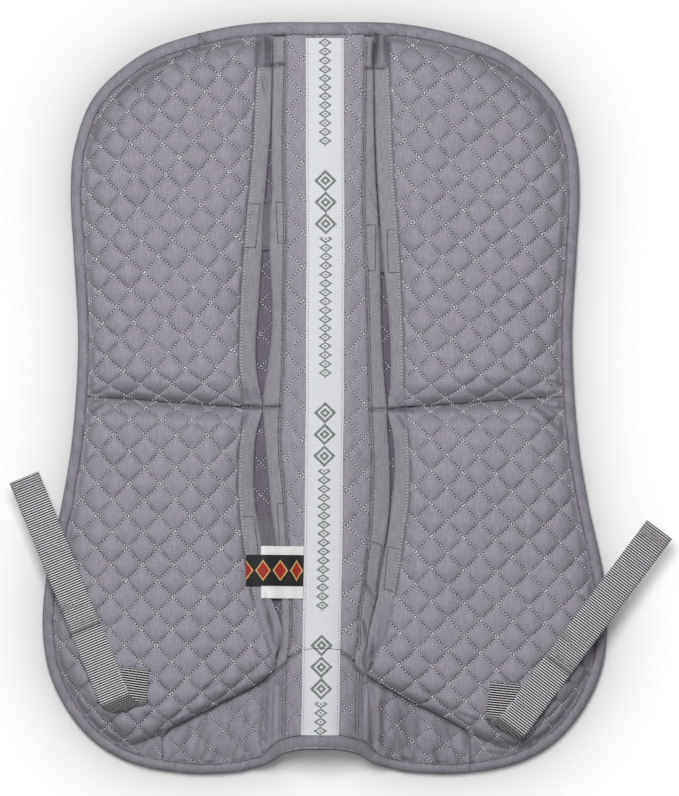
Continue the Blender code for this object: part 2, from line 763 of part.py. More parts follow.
def make_labels():
    """Two sewn labels that start at the tape's left edge."""
    items = []
    for name, (low, high, reach, lift) in LABELS.items():
        places = sorted({*LABEL_COLUMNS, LABEL_RISE[0], reach})
        columns = [lambda y, x=x: x for x in places]
        material = "dark_label" if name == "woven_label" else "label"
        items.append(strip(name, material, stations(low, high), columns,
                           label_bottom(lift), LABEL, -1))
    low, high, _, _ = LABELS["care_label"]
    root = LABEL_COLUMNS[0]
    height = layer_bottom(root, (low + high) / 2) + COVER + LABEL_AXIS_LIFT
    hinge("label_hinge", Vector((SEAT - root, high, height)),
          Vector((SEAT - root, low, height)), items)


def strap_frame(word):
    """Fold middle, direction to the tip, direction across, length and slant of the fold line."""
    start, end, tip, _ = STRAPS[word]
    start, end, tip = Vector(start), Vector(end), Vector(tip)
    middle = (start + end) / 2
    run = (tip - middle).normalized()
    across = Vector((run.y, -run.x))
    fold = (end - start).normalized()
    slant = fold.dot(run) / fold.dot(across)
    return middle, run, across, (tip - middle).length, slant


def strap_solid(name, material, word, spans, half_width):
    """A flat bar along the strap from (distance, low z, high z) sections."""
    middle, run, across, _, slant = strap_frame(word)
    side_profile = [(s, low) for s, low, _ in spans] + [(s, high) for s, _, high in spans[::-1]]
    bm = bmesh.new()
    for offset in (-half_width, half_width):
        ring = []
        for distance, z in side_profile:
            shift = slant * offset * max(0.0, 1 - distance / STRAP_FADE)
            place = middle + run * (distance + shift) + across * offset
            ring.append(bm.verts.new((place.x * MM, place.y * MM, z * MM)))
        bm.faces.new(ring)
    bm.verts.ensure_lookup_table()
    count = len(side_profile)
    for corner in range(count):
        after = (corner + 1) % count
        bm.faces.new((bm.verts[corner], bm.verts[after], bm.verts[count + after],
                      bm.verts[count + corner]))
    bmesh.ops.recalc_face_normals(bm, faces=bm.faces)
    return add_object(name, bm, material, PAD)


def strap_height(distance):
    return STRAP_Z - STRAP_DROP * distance


def make_strap(side, word):
    """Webbing anchor sewn to the pad and the strap that folds back over it."""
    length = strap_frame(word)[3]
    fold_start, fold_end, _, (low_x, high_x, low_y, high_y) = STRAPS[word]
    inner, outer = sorted((abs(low_x), abs(high_x)))
    columns = [lambda y, x=x: x for x in (inner, (inner + outer) / 2, outer)]
    strip(f"strap_anchor_{word}", "webbing", stations(low_y, high_y), columns,
          lambda x, y: panel_bottom(x, y) + COVER + PUFF + SEAT, WEBBING, side)
    spans = []
    for distance, depth in ((STRAP_START, WEBBING), (STRAP_SINGLE, WEBBING),
                            (STRAP_SINGLE + SEAT, STRAP_DOUBLE), (length, STRAP_DOUBLE)):
        z = strap_height(distance)
        spans.append((distance, z, z + depth))
    items = [strap_solid(f"strap_{word}", "webbing", word, spans, STRAP_WIDTH / 2)]
    for name, (near, far) in (("hook", HOOK_SPAN), ("loop", LOOP_SPAN)):
        ends = [length - far, length - near]
        spans = [(s, strap_height(s) - GAP - STRAP_PATCH, strap_height(s) - GAP) for s in ends]
        items.append(strap_solid(f"strap_{name}_patch_{word}", "hook", word, spans,
                                 STRAP_PATCH_WIDTH / 2))
    start, end = (Vector((*place, STRAP_Z - STRAP_AXIS_DROP)) for place in (fold_start, fold_end))
    hinge(f"strap_{word}_hinge", start, end, items)


def adopt(parent, items):
    """Parent objects to an empty without moving them."""
    bpy.context.view_layer.update()
    for item in items:
        item.parent = parent
        item.matrix_parent_inverse = parent.matrix_world.inverted()


def pivot(name, place, items):
    empty = bpy.data.objects.new(name, None)
    empty.location = Vector(place) * MM
    PAD.objects.link(empty)
    adopt(empty, items)
    return empty


def hinge(name, start, end, items):
    """An empty on a hinge's axis, its Y along the axis, that carries the moving pieces."""
    empty = pivot(name, (start + end) / 2, [])
    direction = (end - start).normalized()
    empty.rotation_euler = direction.to_track_quat("Y", "Z").to_euler()
    adopt(empty, items)


def make_half(side, word):
    make_layers(side, word)
    make_inserts(side, word)
    make_binding(side, word)
    make_mouths(side, word)
    make_strap(side, word)


def make_spine_hinge():
    """The right half folds down about a line just under the middle of the arch."""
    drop = RIDGE_SLOPE * (RIDGE_REAR_Y - WITHER_START)
    rear = Vector((0, RIDGE_REAR_Y, RIDGE_REAR - SPINE_AXIS_DROP))
    front = Vector((0, WITHER_START, RIDGE_REAR + drop - SPINE_AXIS_DROP))
    right = [item for item in PAD.objects if item.name.endswith("_right") and not item.parent]
    right += [item for item in PAD.objects if item.type == "EMPTY" and "_right" in item.name]
    hinge("spine_hinge", front, rear, right)


clear_scene()
PAD = new_collection("memory_foam_half_pad")
CUTTERS = new_collection("cutters")
make_half(-1, "left")
make_half(1, "right")
make_tape()
make_labels()
make_spine_hinge()
PAD_ROOT = pivot("pad", (0, 0, 0), [])
adopt(PAD_ROOT, [item for item in PAD.objects if not item.parent and item.name != "pad"])
PAD_ROOT.location = Vector((*PAD_OFFSET, 0)) * MM
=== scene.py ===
import json
import math

import bpy
import numpy as np

# Quilted half pad, seen from above with its rear edge at the top of the picture.
# Everything is worked out in millimetres from the spine line and put in place at the end.
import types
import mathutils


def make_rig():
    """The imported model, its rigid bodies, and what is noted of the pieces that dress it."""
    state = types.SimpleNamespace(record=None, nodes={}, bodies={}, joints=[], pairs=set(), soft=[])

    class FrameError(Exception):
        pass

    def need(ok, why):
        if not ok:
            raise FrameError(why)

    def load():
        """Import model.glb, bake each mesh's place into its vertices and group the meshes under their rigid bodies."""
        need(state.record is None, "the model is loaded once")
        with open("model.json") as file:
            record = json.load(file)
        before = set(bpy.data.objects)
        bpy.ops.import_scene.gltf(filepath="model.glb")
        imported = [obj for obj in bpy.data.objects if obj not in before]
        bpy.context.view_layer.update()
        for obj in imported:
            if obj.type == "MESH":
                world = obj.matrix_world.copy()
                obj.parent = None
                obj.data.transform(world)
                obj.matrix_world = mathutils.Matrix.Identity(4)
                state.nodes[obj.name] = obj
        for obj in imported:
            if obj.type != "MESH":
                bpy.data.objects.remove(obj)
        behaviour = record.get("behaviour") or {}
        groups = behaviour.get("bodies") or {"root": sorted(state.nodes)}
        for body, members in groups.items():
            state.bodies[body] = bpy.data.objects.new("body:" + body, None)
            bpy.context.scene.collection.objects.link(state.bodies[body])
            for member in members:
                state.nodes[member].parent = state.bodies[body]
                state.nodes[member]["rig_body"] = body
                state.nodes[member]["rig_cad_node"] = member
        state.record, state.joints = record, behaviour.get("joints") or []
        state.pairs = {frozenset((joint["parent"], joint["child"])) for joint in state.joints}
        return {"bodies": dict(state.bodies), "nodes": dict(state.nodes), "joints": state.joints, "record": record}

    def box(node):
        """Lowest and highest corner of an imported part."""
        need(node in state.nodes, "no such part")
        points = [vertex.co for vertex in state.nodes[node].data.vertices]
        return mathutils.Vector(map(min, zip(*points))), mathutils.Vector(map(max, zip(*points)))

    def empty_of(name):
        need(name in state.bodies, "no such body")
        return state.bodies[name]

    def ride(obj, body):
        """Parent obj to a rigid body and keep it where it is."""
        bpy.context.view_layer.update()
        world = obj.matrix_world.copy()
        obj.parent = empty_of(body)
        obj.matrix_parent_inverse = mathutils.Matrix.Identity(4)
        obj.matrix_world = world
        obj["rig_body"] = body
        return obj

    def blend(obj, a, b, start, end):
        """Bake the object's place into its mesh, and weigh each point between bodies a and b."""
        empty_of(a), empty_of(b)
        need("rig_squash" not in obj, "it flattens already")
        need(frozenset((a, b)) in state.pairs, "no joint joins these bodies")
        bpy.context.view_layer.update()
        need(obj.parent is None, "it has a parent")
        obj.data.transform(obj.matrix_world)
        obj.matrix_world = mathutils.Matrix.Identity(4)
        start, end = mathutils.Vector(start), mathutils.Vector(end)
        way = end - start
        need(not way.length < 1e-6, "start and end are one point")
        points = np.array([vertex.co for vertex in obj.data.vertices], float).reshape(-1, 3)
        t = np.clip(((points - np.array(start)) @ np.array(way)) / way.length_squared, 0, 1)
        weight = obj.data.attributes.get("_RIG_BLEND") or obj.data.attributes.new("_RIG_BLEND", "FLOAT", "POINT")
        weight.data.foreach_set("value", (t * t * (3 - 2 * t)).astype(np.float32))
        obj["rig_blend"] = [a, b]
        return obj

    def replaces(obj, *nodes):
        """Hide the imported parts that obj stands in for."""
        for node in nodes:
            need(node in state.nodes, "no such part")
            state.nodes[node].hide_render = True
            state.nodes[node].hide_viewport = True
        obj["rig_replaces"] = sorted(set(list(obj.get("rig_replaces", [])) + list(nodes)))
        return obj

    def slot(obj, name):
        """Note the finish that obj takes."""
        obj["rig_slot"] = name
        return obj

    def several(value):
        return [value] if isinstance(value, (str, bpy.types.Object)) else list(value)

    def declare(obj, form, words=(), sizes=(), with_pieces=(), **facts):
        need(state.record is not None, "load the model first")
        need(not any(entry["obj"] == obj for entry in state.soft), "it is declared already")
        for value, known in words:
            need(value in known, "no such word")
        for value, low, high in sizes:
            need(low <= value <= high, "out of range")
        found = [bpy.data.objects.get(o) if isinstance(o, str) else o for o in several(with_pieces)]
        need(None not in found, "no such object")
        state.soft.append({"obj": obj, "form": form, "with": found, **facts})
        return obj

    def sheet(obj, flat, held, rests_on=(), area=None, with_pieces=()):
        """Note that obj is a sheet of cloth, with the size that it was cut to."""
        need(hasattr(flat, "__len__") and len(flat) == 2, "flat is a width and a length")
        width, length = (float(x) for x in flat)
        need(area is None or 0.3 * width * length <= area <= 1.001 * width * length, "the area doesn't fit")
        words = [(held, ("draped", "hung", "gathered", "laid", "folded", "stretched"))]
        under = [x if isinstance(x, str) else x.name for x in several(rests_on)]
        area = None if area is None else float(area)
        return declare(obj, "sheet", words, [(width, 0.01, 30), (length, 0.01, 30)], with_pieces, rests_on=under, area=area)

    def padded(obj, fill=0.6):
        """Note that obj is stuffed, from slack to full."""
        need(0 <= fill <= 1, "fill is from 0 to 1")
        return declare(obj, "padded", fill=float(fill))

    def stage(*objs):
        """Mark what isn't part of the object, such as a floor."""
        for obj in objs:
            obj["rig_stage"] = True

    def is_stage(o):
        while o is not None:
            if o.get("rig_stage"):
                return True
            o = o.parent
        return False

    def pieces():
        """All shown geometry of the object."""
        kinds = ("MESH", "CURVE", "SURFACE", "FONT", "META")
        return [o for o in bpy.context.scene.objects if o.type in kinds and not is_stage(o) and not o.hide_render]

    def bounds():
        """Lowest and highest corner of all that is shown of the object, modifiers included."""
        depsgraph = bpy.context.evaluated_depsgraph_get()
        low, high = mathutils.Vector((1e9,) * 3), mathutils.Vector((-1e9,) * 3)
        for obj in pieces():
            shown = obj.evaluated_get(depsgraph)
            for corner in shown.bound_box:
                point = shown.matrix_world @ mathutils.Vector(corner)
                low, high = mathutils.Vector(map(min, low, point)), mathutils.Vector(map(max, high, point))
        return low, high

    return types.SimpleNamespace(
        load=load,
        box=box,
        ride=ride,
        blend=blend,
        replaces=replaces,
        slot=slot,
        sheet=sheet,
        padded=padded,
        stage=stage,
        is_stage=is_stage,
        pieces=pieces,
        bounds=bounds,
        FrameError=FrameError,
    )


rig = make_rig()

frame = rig.load()
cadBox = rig.bounds()
print("frame loaded:", len(frame["nodes"]), "parts")

padSize = {
    "spineX": -12.8,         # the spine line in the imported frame
    "base": 5.0,             # thickness of the panel on the horse's side
    "layerGap": 0.3,
    "cover": 3.2,            # thickness of the quilted top layers
    "bindingRear": 11.4,     # width of the binding across the rear
    "bindingFront": 9.4,     # across the front of the wings
    "bindingArch": 14.2,     # across the front of the arch
    "bindingSide": 9.6,      # and down the sides
}

# Half outline from rear centre to front centre: distance from the spine, y
outlineKnots = [
    (0, 303.5), (60, 303), (110, 293), (150, 277), (186, 245), (202, 205), (205.5, 165),
    (203, 116), (199.6, 45), (204, -29), (213, -86), (225, -142), (228, -190), (219, -232),
    (193.5, -271), (158, -294), (112, -303), (74, -302.5), (57, -299.4), (43, -295.2), (30, -287.0),
    (15, -283), (0, -282.6),
]

# Lines along the pad, each as y and distance from the spine. The two sides differ, as sewn ones do.
stripEdge = {
    "left": [
        (-290, 27), (-200, 27.5), (-170, 27), (-114, 30), (-73, 33), (-37, 36.3), (0, 35), (30, 33.5),
        (75, 33), (128, 32), (197, 33), (237, 32.5), (268, 31.5), (310, 31.5),
    ],
    "right": [
        (-290, 27), (-200, 27), (-170, 28), (-148, 31.5), (-129, 33.3), (-109, 36), (-80, 37.5),
        (-47, 38), (-13, 36.6), (10, 36), (67, 34.5), (93, 33.7), (125, 32), (165, 30.8), (200, 31.3),
        (266, 32), (310, 32),
    ],
}
mouthEdge = {
    "left": [
        (-222, 36), (-212, 39), (-200, 44.5), (-167, 56.5), (-140, 62), (-119, 65.7), (-94, 68.8),
        (-73, 70.2), (-42, 69.3), (-8, 65.5), (31, 69.5), (60, 69), (118, 65.7), (161, 62.1),
        (197, 58.7), (238, 56.5), (268, 55), (310, 54),
    ],
    "right": [
        (-224, 38), (-210, 41.5), (-189, 48.8), (-170, 53.5), (-153, 57.5), (-130, 61.4), (-109, 64.2),
        (-88, 67.2), (-62, 68.6), (-32, 67.2), (-8, 64.6), (52, 63.1), (93, 61.5), (144, 58.4),
        (176, 56), (202, 54.5), (235, 53.3), (266, 51.8), (310, 51.2),
    ],
}
# The slot between the two bands: y, its inner side, its outer side
slotSides = {
    "left": [
        (-222, 37.0, 37.0), (-206, 36.4, 36.4), (-184, 35.0, 35.1), (-175, 35.1, 38.0),
        (-162, 35.0, 43.0), (-140, 36.5, 47.5), (-117, 39.8, 50.8), (-87, 44.1, 56.0),
        (-53, 46.9, 57.3), (-22, 49.3, 54.1), (-8, 50.4, 50.5), (3, 49.8, 52.0), (23, 46.9, 54.9),
        (44, 44.1, 55.6), (75, 42.8, 53.4), (103, 44.5, 51.6), (124, 45.0, 50.4), (144, 44.6, 49.8),
        (166, 43.0, 48.1), (191, 43.3, 45.9), (217, 43.1, 43.7), (240, 42.7, 43.0), (268, 42.3, 42.5),
        (310, 42.0, 42.1),
    ],
    "right": [
        (-224, 37.0, 37.0), (-210, 34.8, 34.8), (-193, 34.5, 34.6), (-178, 37.6, 37.9),
        (-162, 41.4, 41.9), (-148, 43.3, 43.8), (-132, 45.8, 46.3), (-112, 49.3, 50.1),
        (-84, 52.4, 53.4), (-71, 52.6, 55.0), (-40, 51.8, 55.4), (-22, 50.4, 53.0), (-9, 50.4, 50.5),
        (0, 49.6, 51.8), (20, 47.7, 52.4), (41, 46.3, 52.4), (72, 45.3, 50.4), (100, 44.9, 47.7),
        (113, 44.6, 46.4), (143, 43.1, 44.3), (180, 40.9, 41.8), (223, 39.6, 40.3), (268, 39.3, 39.6),
        (310, 39.2, 39.3),
    ],
}
# Lines across the pad: distance from the spine, y
dividerLine = [(20, -9), (50, -8), (105, -4.4), (190, 1.5), (230, 2.5)]
# the seam of the wither panel, which ends in a corner and runs straight to the front edge
witherLine = {
    "left": [(0, -201), (14, -201.8), (24, -206.5), (35, -217.5), (49, -229), (68, -239.5), (90, -249.5),
             (114, -261.5), (131, -270)],
    "right": [(0, -201), (14, -202), (22, -207.5), (30, -217), (40, -226), (52, -234), (67, -243),
              (93, -256.6), (117, -270)],
}
# how far the tape lies off the spine line: y, shift
tapeDrift = [(-310, -4.2), (-265, -3.9), (-180, -2.5), (-80, -0.9), (0, 0), (310, 0)]

witherY = -201     # where the wither seam crosses the spine
spineGap = 0.1     # from the spine to the pieces of each half
mirror = np.array([-1, 1])

mouths = {"rear": (8.0, 268.0), "front": (-162.0, -24.0)}     # y range of each mouth's loose flap
bodyOf = {"left": "left_half", "right": "right_half"}
sideSign = {"left": -1, "right": 1}

# Quilting: one crossing, then the steps to the next lines of each family. The lattices of the four
# pocket covers are turned a little against each other, as cut cloth is.
quiltLattices = {
    "rear_left": ((-8.09, 3.34), (11.35, 13.62), (-13.99, 12.38)),
    "rear_right": ((-6.55, 5.59), (14.17, 11.77), (-11.85, 14.18)),
    "front_left": ((7.11, -3.87), (12.90, 12.99), (-12.31, 13.06)),
    "front_right": ((6.72, -1.78), (12.93, 12.48), (-13.14, 13.80)),
    "spine_left": ((-18.6, 190.2), (12.3, 14.2), (-12.3, 13.8)),
    "spine_right": ((18.6, 178.0), (12.3, 13.8), (-12.3, 14.2)),
    "wither_left": ((-21.0, -226.0), (11.6, 13.6), (-13.2, 12.2)),
    "wither_right": ((23.0, -224.0), (13.6, 11.6), (-12.2, 13.2)),
    "base": ((0.0, 0.0), (13.0, 13.0), (-13.0, 13.0)),
}
stitchesPerCell = 7
linePhases = (0.618, 0.37)     # share of a stitch added for each line, and for the second family


def linePhase(line, family):
    # where along a quilting line its first needle hole is, as a share of a stitch
    return np.mod(line * linePhases[0] + linePhases[1] * family, 1)


def smoothStep(t):
    # 3t^2 - 2t^3 between 0 and 1
    t = np.clip(t, 0, 1)
    return t * t * (3 - 2 * t)


def lineValue(knots, position, field=1):
    # smooth curve through (position, value) knots: cubic spans with the neighbours' slope at each knot
    table = np.array(knots, float)
    place, value = table[:, 0], table[:, field]
    slope = np.gradient(value, place)
    position = np.clip(position, place[0], place[-1])
    span = np.clip(np.searchsorted(place, position, side="right") - 1, 0, len(place) - 2)
    size = place[span + 1] - place[span]
    t = (position - place[span]) / size
    return ((2 * t**3 - 3 * t**2 + 1) * value[span] + (t**3 - 2 * t**2 + t) * size * slope[span]
            + (3 * t**2 - 2 * t**3) * value[span + 1] + (t**3 - t**2) * size * slope[span + 1])


def softNoise(x, y, size, seed):
    # rolling hills of height -1 to 1: random heights on a square grid, eased in between
    table = np.random.default_rng(seed).uniform(-1, 1, (64, 64))
    u, v = np.asarray(x, float) / size, np.asarray(y, float) / size
    i, j = np.floor(u).astype(int), np.floor(v).astype(int)
    s, t = smoothStep(u - i), smoothStep(v - j)
    rows, columns = (i % 64, (i + 1) % 64), (j % 64, (j + 1) % 64)
    low = table[rows[0], columns[0]] * (1 - s) + table[rows[1], columns[0]] * s
    high = table[rows[0], columns[1]] * (1 - s) + table[rows[1], columns[1]] * s
    return low * (1 - t) + high * t


def roundedPath(knots, steps):
    # Catmull-Rom curve through the knots, with a number of points in each span
    table = np.array(knots, float)
    before, start, end, after = table[:-3], table[1:-2], table[2:-1], table[3:]
    t = (np.arange(steps) / steps)[None, :, None]
    before, start, end, after = (part[:, None, :] for part in (before, start, end, after))
    curve = 0.5 * (2 * start + (end - before) * t + (2 * before - 5 * start + 4 * end - after) * t**2
                   + (3 * start - before - 3 * end + after) * t**3)
    return np.vstack([curve.reshape(-1, 2), table[-2:-1]])


def openCurve(knots, steps=6):
    # the same curve for a line with loose ends: its end knots are repeated beyond themselves
    table = np.array(knots, float)
    return roundedPath(np.vstack([2 * table[0] - table[1], table, 2 * table[-1] - table[-2]]), steps)


def halfOutline(steps=8):
    first, last = outlineKnots[1], outlineKnots[-2]
    return roundedPath([(-first[0], first[1])] + outlineKnots + [(-last[0], last[1])], steps)


def inwardNormals(path):
    # unit normals of a half outline, at right angles to the neighbours' chord
    longer = np.vstack([path[1] * mirror, path, path[-2] * mirror])
    run = longer[2:] - longer[:-2]
    run /= np.linalg.norm(run, axis=1)[:, None]
    return np.stack([run[:, 1], -run[:, 0]], 1)


def bindingWidth(normal, across):
    # wide across the ends, where the normal points along the pad, and narrower down the sides
    arch = 1 - smoothStep((np.abs(across) - 28) / 18)
    front = padSize["bindingFront"] + (padSize["bindingArch"] - padSize["bindingFront"]) * arch
    end = np.where(normal[..., 1] > 0, front, padSize["bindingRear"])
    return padSize["bindingSide"] + (end - padSize["bindingSide"]) * normal[..., 1] ** 2


def wholeLoop(half):
    # both halves of a line joined into one closed loop
    return np.vstack([half, (half * mirror)[-2:0:-1]])


def alongPath(path, spacing):
    # the same path with points at an even spacing, and their distance along it
    steps = np.linalg.norm(np.diff(path, axis=0), axis=1)
    travelled = np.concatenate([[0], np.cumsum(steps)])
    count = max(2, int(round(travelled[-1] / spacing)) + 1)
    places = np.linspace(0, travelled[-1], count)
    return np.stack([np.interp(places, travelled, column) for column in path.T], 1), places


edgeHalf = halfOutline()
edgeNormals = inwardNormals(edgeHalf)
rimHalf = edgeHalf + edgeNormals * 1.4
boundHalf = edgeHalf + edgeNormals * bindingWidth(edgeNormals, edgeHalf[:, 0])[:, None]
boundLoop = wholeLoop(boundHalf)
rimLoop = wholeLoop(rimHalf)
witherPath = {word: np.vstack([openCurve(line), [[line[-1][0] + 0.5, -297]]])
              for word, line in witherLine.items()}
witherLoop = {word: np.vstack([path, [[path[-1, 0], -320], [0, -320]]]) * np.array([sideSign[word], 1])
              for word, path in witherPath.items()}


def pathX(path, y):
    # distance from the spine where the side of a half path has this y
    side = path[np.argsort(-path[:, 1], kind="stable")]
    return float(np.interp(-y, -side[:, 1], side[:, 0]))


def pathY(path, x, rear):
    # y where the rear or front end of a half path has this distance from the spine
    half = path[path[:, 1] > 0] if rear else path[path[:, 1] < 0][::-1]
    reach = int(np.argmax(half[:, 0]))
    return float(np.interp(x, half[:reach + 1, 0], half[:reach + 1, 1]))


def loopDistance(points, loop):
    # distance to a closed line, positive inside it, and the nearest point on it
    best = np.full(points.shape[:-1], 1e9)
    nearest = np.zeros_like(points)
    inside = np.zeros(points.shape[:-1], bool)
    x, y = points[..., 0], points[..., 1]
    for start, end in zip(loop, np.roll(loop, -1, axis=0)):
        run = end - start
        length = run @ run
        if length < 1e-12:
            continue
        t = np.clip(((points - start) @ run) / length, 0, 1)
        foot = start + t[..., None] * run
        gap = np.linalg.norm(points - foot, axis=-1)
        closer = gap < best
        best[closer] = gap[closer]
        nearest[closer] = foot[closer]
        if start[1] != end[1]:
            crossing = (end[0] - start[0]) * (y - start[1]) / (end[1] - start[1]) + start[0]
            inside ^= ((start[1] > y) != (end[1] > y)) & (x < crossing)
    return np.where(inside, best, -best), nearest


def lineDistance(x, y, line):
    # distance to an open line
    points = np.stack(np.broadcast_arrays(x, y), -1).astype(float)
    best = np.full(points.shape[:-1], 1e9)
    for start, end in zip(np.array(line[:-1], float), np.array(line[1:], float)):
        run = end - start
        t = np.clip(((points - start) @ run) / (run @ run), 0, 1)
        best = np.minimum(best, np.linalg.norm(points - start - t[..., None] * run, axis=-1))
    return best


def ground(x, y):
    # underside of the pad: an arch along the spine, (1 - (x/w)^2)^2, that grows towards the withers
    forward = smoothStep((-100 - y) / 190)
    height = 12 + 0.02 * (300 - y) + 12.2 * forward
    part = np.minimum(1, np.abs(x) / (66 - 5 * forward))
    return height * (1 - part**2) ** 2


def layerFoot(x, y):
    return ground(x, y) + padSize["base"] + padSize["layerGap"]


dividerRow = np.array([20, 50, 105, 150, 190, 215])
dividerPath = np.stack([dividerRow, lineValue(dividerLine, dividerRow)], 1)


def boundDistance(x, y):
    # distance inside the binding's inner edge
    gap, _ = loopDistance(np.stack(np.broadcast_arrays(x, y), -1).astype(float), boundLoop)
    return np.maximum(gap, 0)


def bySide(x, y, measure):
    # measure(distance from the spine, y, side) for the points of each side
    x, y = np.broadcast_arrays(np.asarray(x, float), np.asarray(y, float))
    result = np.zeros(x.shape)
    for word, part in (("left", x < 0), ("right", x >= 0)):
        if part.any():
            result[part] = measure(np.abs(x[part]), y[part], word)
    return result


def witherDistance(x, y):
    # distance from the wither seam of the side that a point is on
    return bySide(x, y, lambda across, along, word: lineDistance(across, along, witherPath[word]))


# The front end of each insert follows the wither seam and then runs on outwards to the binding
bulgeLine = {word: np.vstack([witherPath[word][:-1], openCurve(line)])
             for word, line in (("left", [(133, -271), (150, -278), (176, -285)]),
                                ("right", [(120, -271.5), (140, -281), (166, -288)]))}


def bulgeDistance(x, y):
    # distance behind that line, nothing in front of it
    def measure(across, along, word):
        path = bulgeLine[word]
        behind = along > np.interp(across, path[:, 0], path[:, 1])
        return lineDistance(across, along, path) * behind

    return bySide(x, y, measure)


dividerLoop = np.vstack([dividerPath[::-1] * mirror, dividerPath, [[300, 420], [-300, 420]]])


def seamGaps(x, y):
    # distances from the binding, the divider seam, the wither seam and the front end of the insert
    return {"bound": boundDistance(np.abs(x), y), "divider": lineDistance(np.abs(x), y, dividerPath),
            "wither": witherDistance(x, y), "bulge": bulgeDistance(x, y)}


coverShape = {
    "crown": 16.0,        # rise over the foam
    "mouthRise": 7.5,     # rise at the seam of the band
    "mouthReach": 25.0,
    "slotRise": 2.3,
    "drawnSide": 38.0,    # how far in from the binding the cover is full, down the sides
    "drawnEnd": 25.0,     # and at the rear and front
    "dividerReach": 25.0,
    "witherReach": 26.0,
    "puff": 4.2,          # height of a quilted diamond over its seams
    "seamDip": 0.9,
    "taken": 8.0,         # extra cloth in the slopes at the ends
    "takenReach": 36.0,
    "pucker": 0.95,
}


def coverRise(x, y, word, gaps):
    # rise of a pocket cover: a sine up from the binding and from the divider seam, a quarter ellipse from
    # the wither seam, lower towards the mouth and lowest at the slot
    x = np.abs(x)
    edge, slot = lineValue(mouthEdge[word], y), lineValue(slotSides[word], y, 2)
    past = x - edge
    share = np.sin(np.pi / 2 * np.clip(past / coverShape["mouthReach"], 0, 1))
    outer = coverShape["mouthRise"] + (coverShape["crown"] - coverShape["mouthRise"]) * share
    t = np.clip(-past / np.maximum(edge - slot, 1), 0, 1)
    inner = coverShape["mouthRise"] + (coverShape["slotRise"] - coverShape["mouthRise"]) * t
    end = smoothStep((y - 165) / 75) + smoothStep((-165 - y) / 75)
    drawn = coverShape["drawnSide"] + (coverShape["drawnEnd"] - coverShape["drawnSide"]) * end
    bound = np.sin(np.pi / 2 * np.clip(gaps["bound"] / drawn, 0, 1)) ** 0.95
    front = np.clip(gaps["bulge"] / coverShape["witherReach"], 0, 1)
    divide = np.sin(np.pi / 2 * np.clip(gaps["divider"] / coverShape["dividerReach"], 0, 1)) ** 0.9
    held = bound * np.sqrt(1 - (1 - front) ** 2)
    return np.where(past > 0, outer, inner) * held * divide


def quiltPuff(s, t, seed):
    # a pillow in each diamond, root of sin * sin, fuller in some diamonds than in others
    fullness = np.random.default_rng(seed).uniform(0.7, 1.15, (97, 97))
    size = fullness[np.floor(s).astype(int) % 97, np.floor(t).astype(int) % 97]
    return size * (np.abs(np.sin(np.pi * s) * np.sin(np.pi * t)) + 1e-9) ** 0.5


def slopeShift(x, y):
    # length of cloth taken up by the slopes at the ends, by position
    end = smoothStep((y - 150) / 70) * (1 + 0.5 * smoothStep((-x - 60) / 50))
    end = end + smoothStep((-185 - y) / 60)
    return coverShape["taken"] * end * smoothStep((np.abs(x) - 30) / 40)


def witherShift(x, y):
    # and by the slope down to the wither seam
    return coverShape["taken"] * smoothStep((np.abs(x) - 46) / 30) * smoothStep((-150 - y) / 40)


def dividerShift(x):
    # and by the slopes down to the seam across the pad
    off = np.abs(x)
    return 1.05 * coverShape["taken"] * smoothStep((off - 52) / 14) * smoothStep((226 - off) / 30)


def drawnIn(points, loop, side, shift):
    # from flat cloth to plan: within a reach r of a loop a distance q in the cloth becomes
    # q (1 - (2 - q/r) e/r), where e is the length taken up by the slope; side is 1 inside the loop
    gap, nearest = loopDistance(points, loop)
    gap, reach = gap * side, coverShape["takenReach"]
    cloth = np.maximum(gap + shift, 0)
    plan = np.where(cloth < reach, cloth * (1 - (2 - cloth / reach) * shift / reach), gap)
    away = points - nearest
    length = np.linalg.norm(away, axis=-1)
    normal = away / np.maximum(length, 1e-6)[..., None] * np.where(gap < 0, -1, 1)[..., None]
    moved = nearest + normal * plan[..., None]
    return np.where(((shift > 0.01) & (length > 1e-3))[..., None], moved, points)


def coverPlan(points):
    # where a point of a cover's flat cloth lies
    points = drawnIn(points, rimLoop, 1, slopeShift(points[..., 0], points[..., 1]))
    rear = points[..., 1].mean() > 0
    near = np.abs(points[..., 1]) < 60
    points = drawnIn(points, dividerLoop, 1 if rear else -1, dividerShift(points[..., 0]) * near)
    if rear:
        return points
    loop = witherLoop["left" if points[..., 0].mean() < 0 else "right"]
    return drawnIn(points, loop, -1, witherShift(points[..., 0], points[..., 1]))


def creases(x, y, lines):
    # small folds: a narrow ridge along each line (x0, y0, x1, y1, width, height), fading at its ends
    total = np.zeros(np.broadcast(x, y).shape)
    for x0, y0, x1, y1, width, height in lines:
        run = np.array([x1 - x0, y1 - y0])
        length = np.linalg.norm(run)
        t = ((x - x0) * run[0] + (y - y0) * run[1]) / length**2
        off = ((x - x0) * run[1] - (y - y0) * run[0]) / length / width
        fade = smoothStep(t * 4) * smoothStep((1 - t) * 4)
        total += 1.9 * height * fade * np.exp(-off**2)
    return total


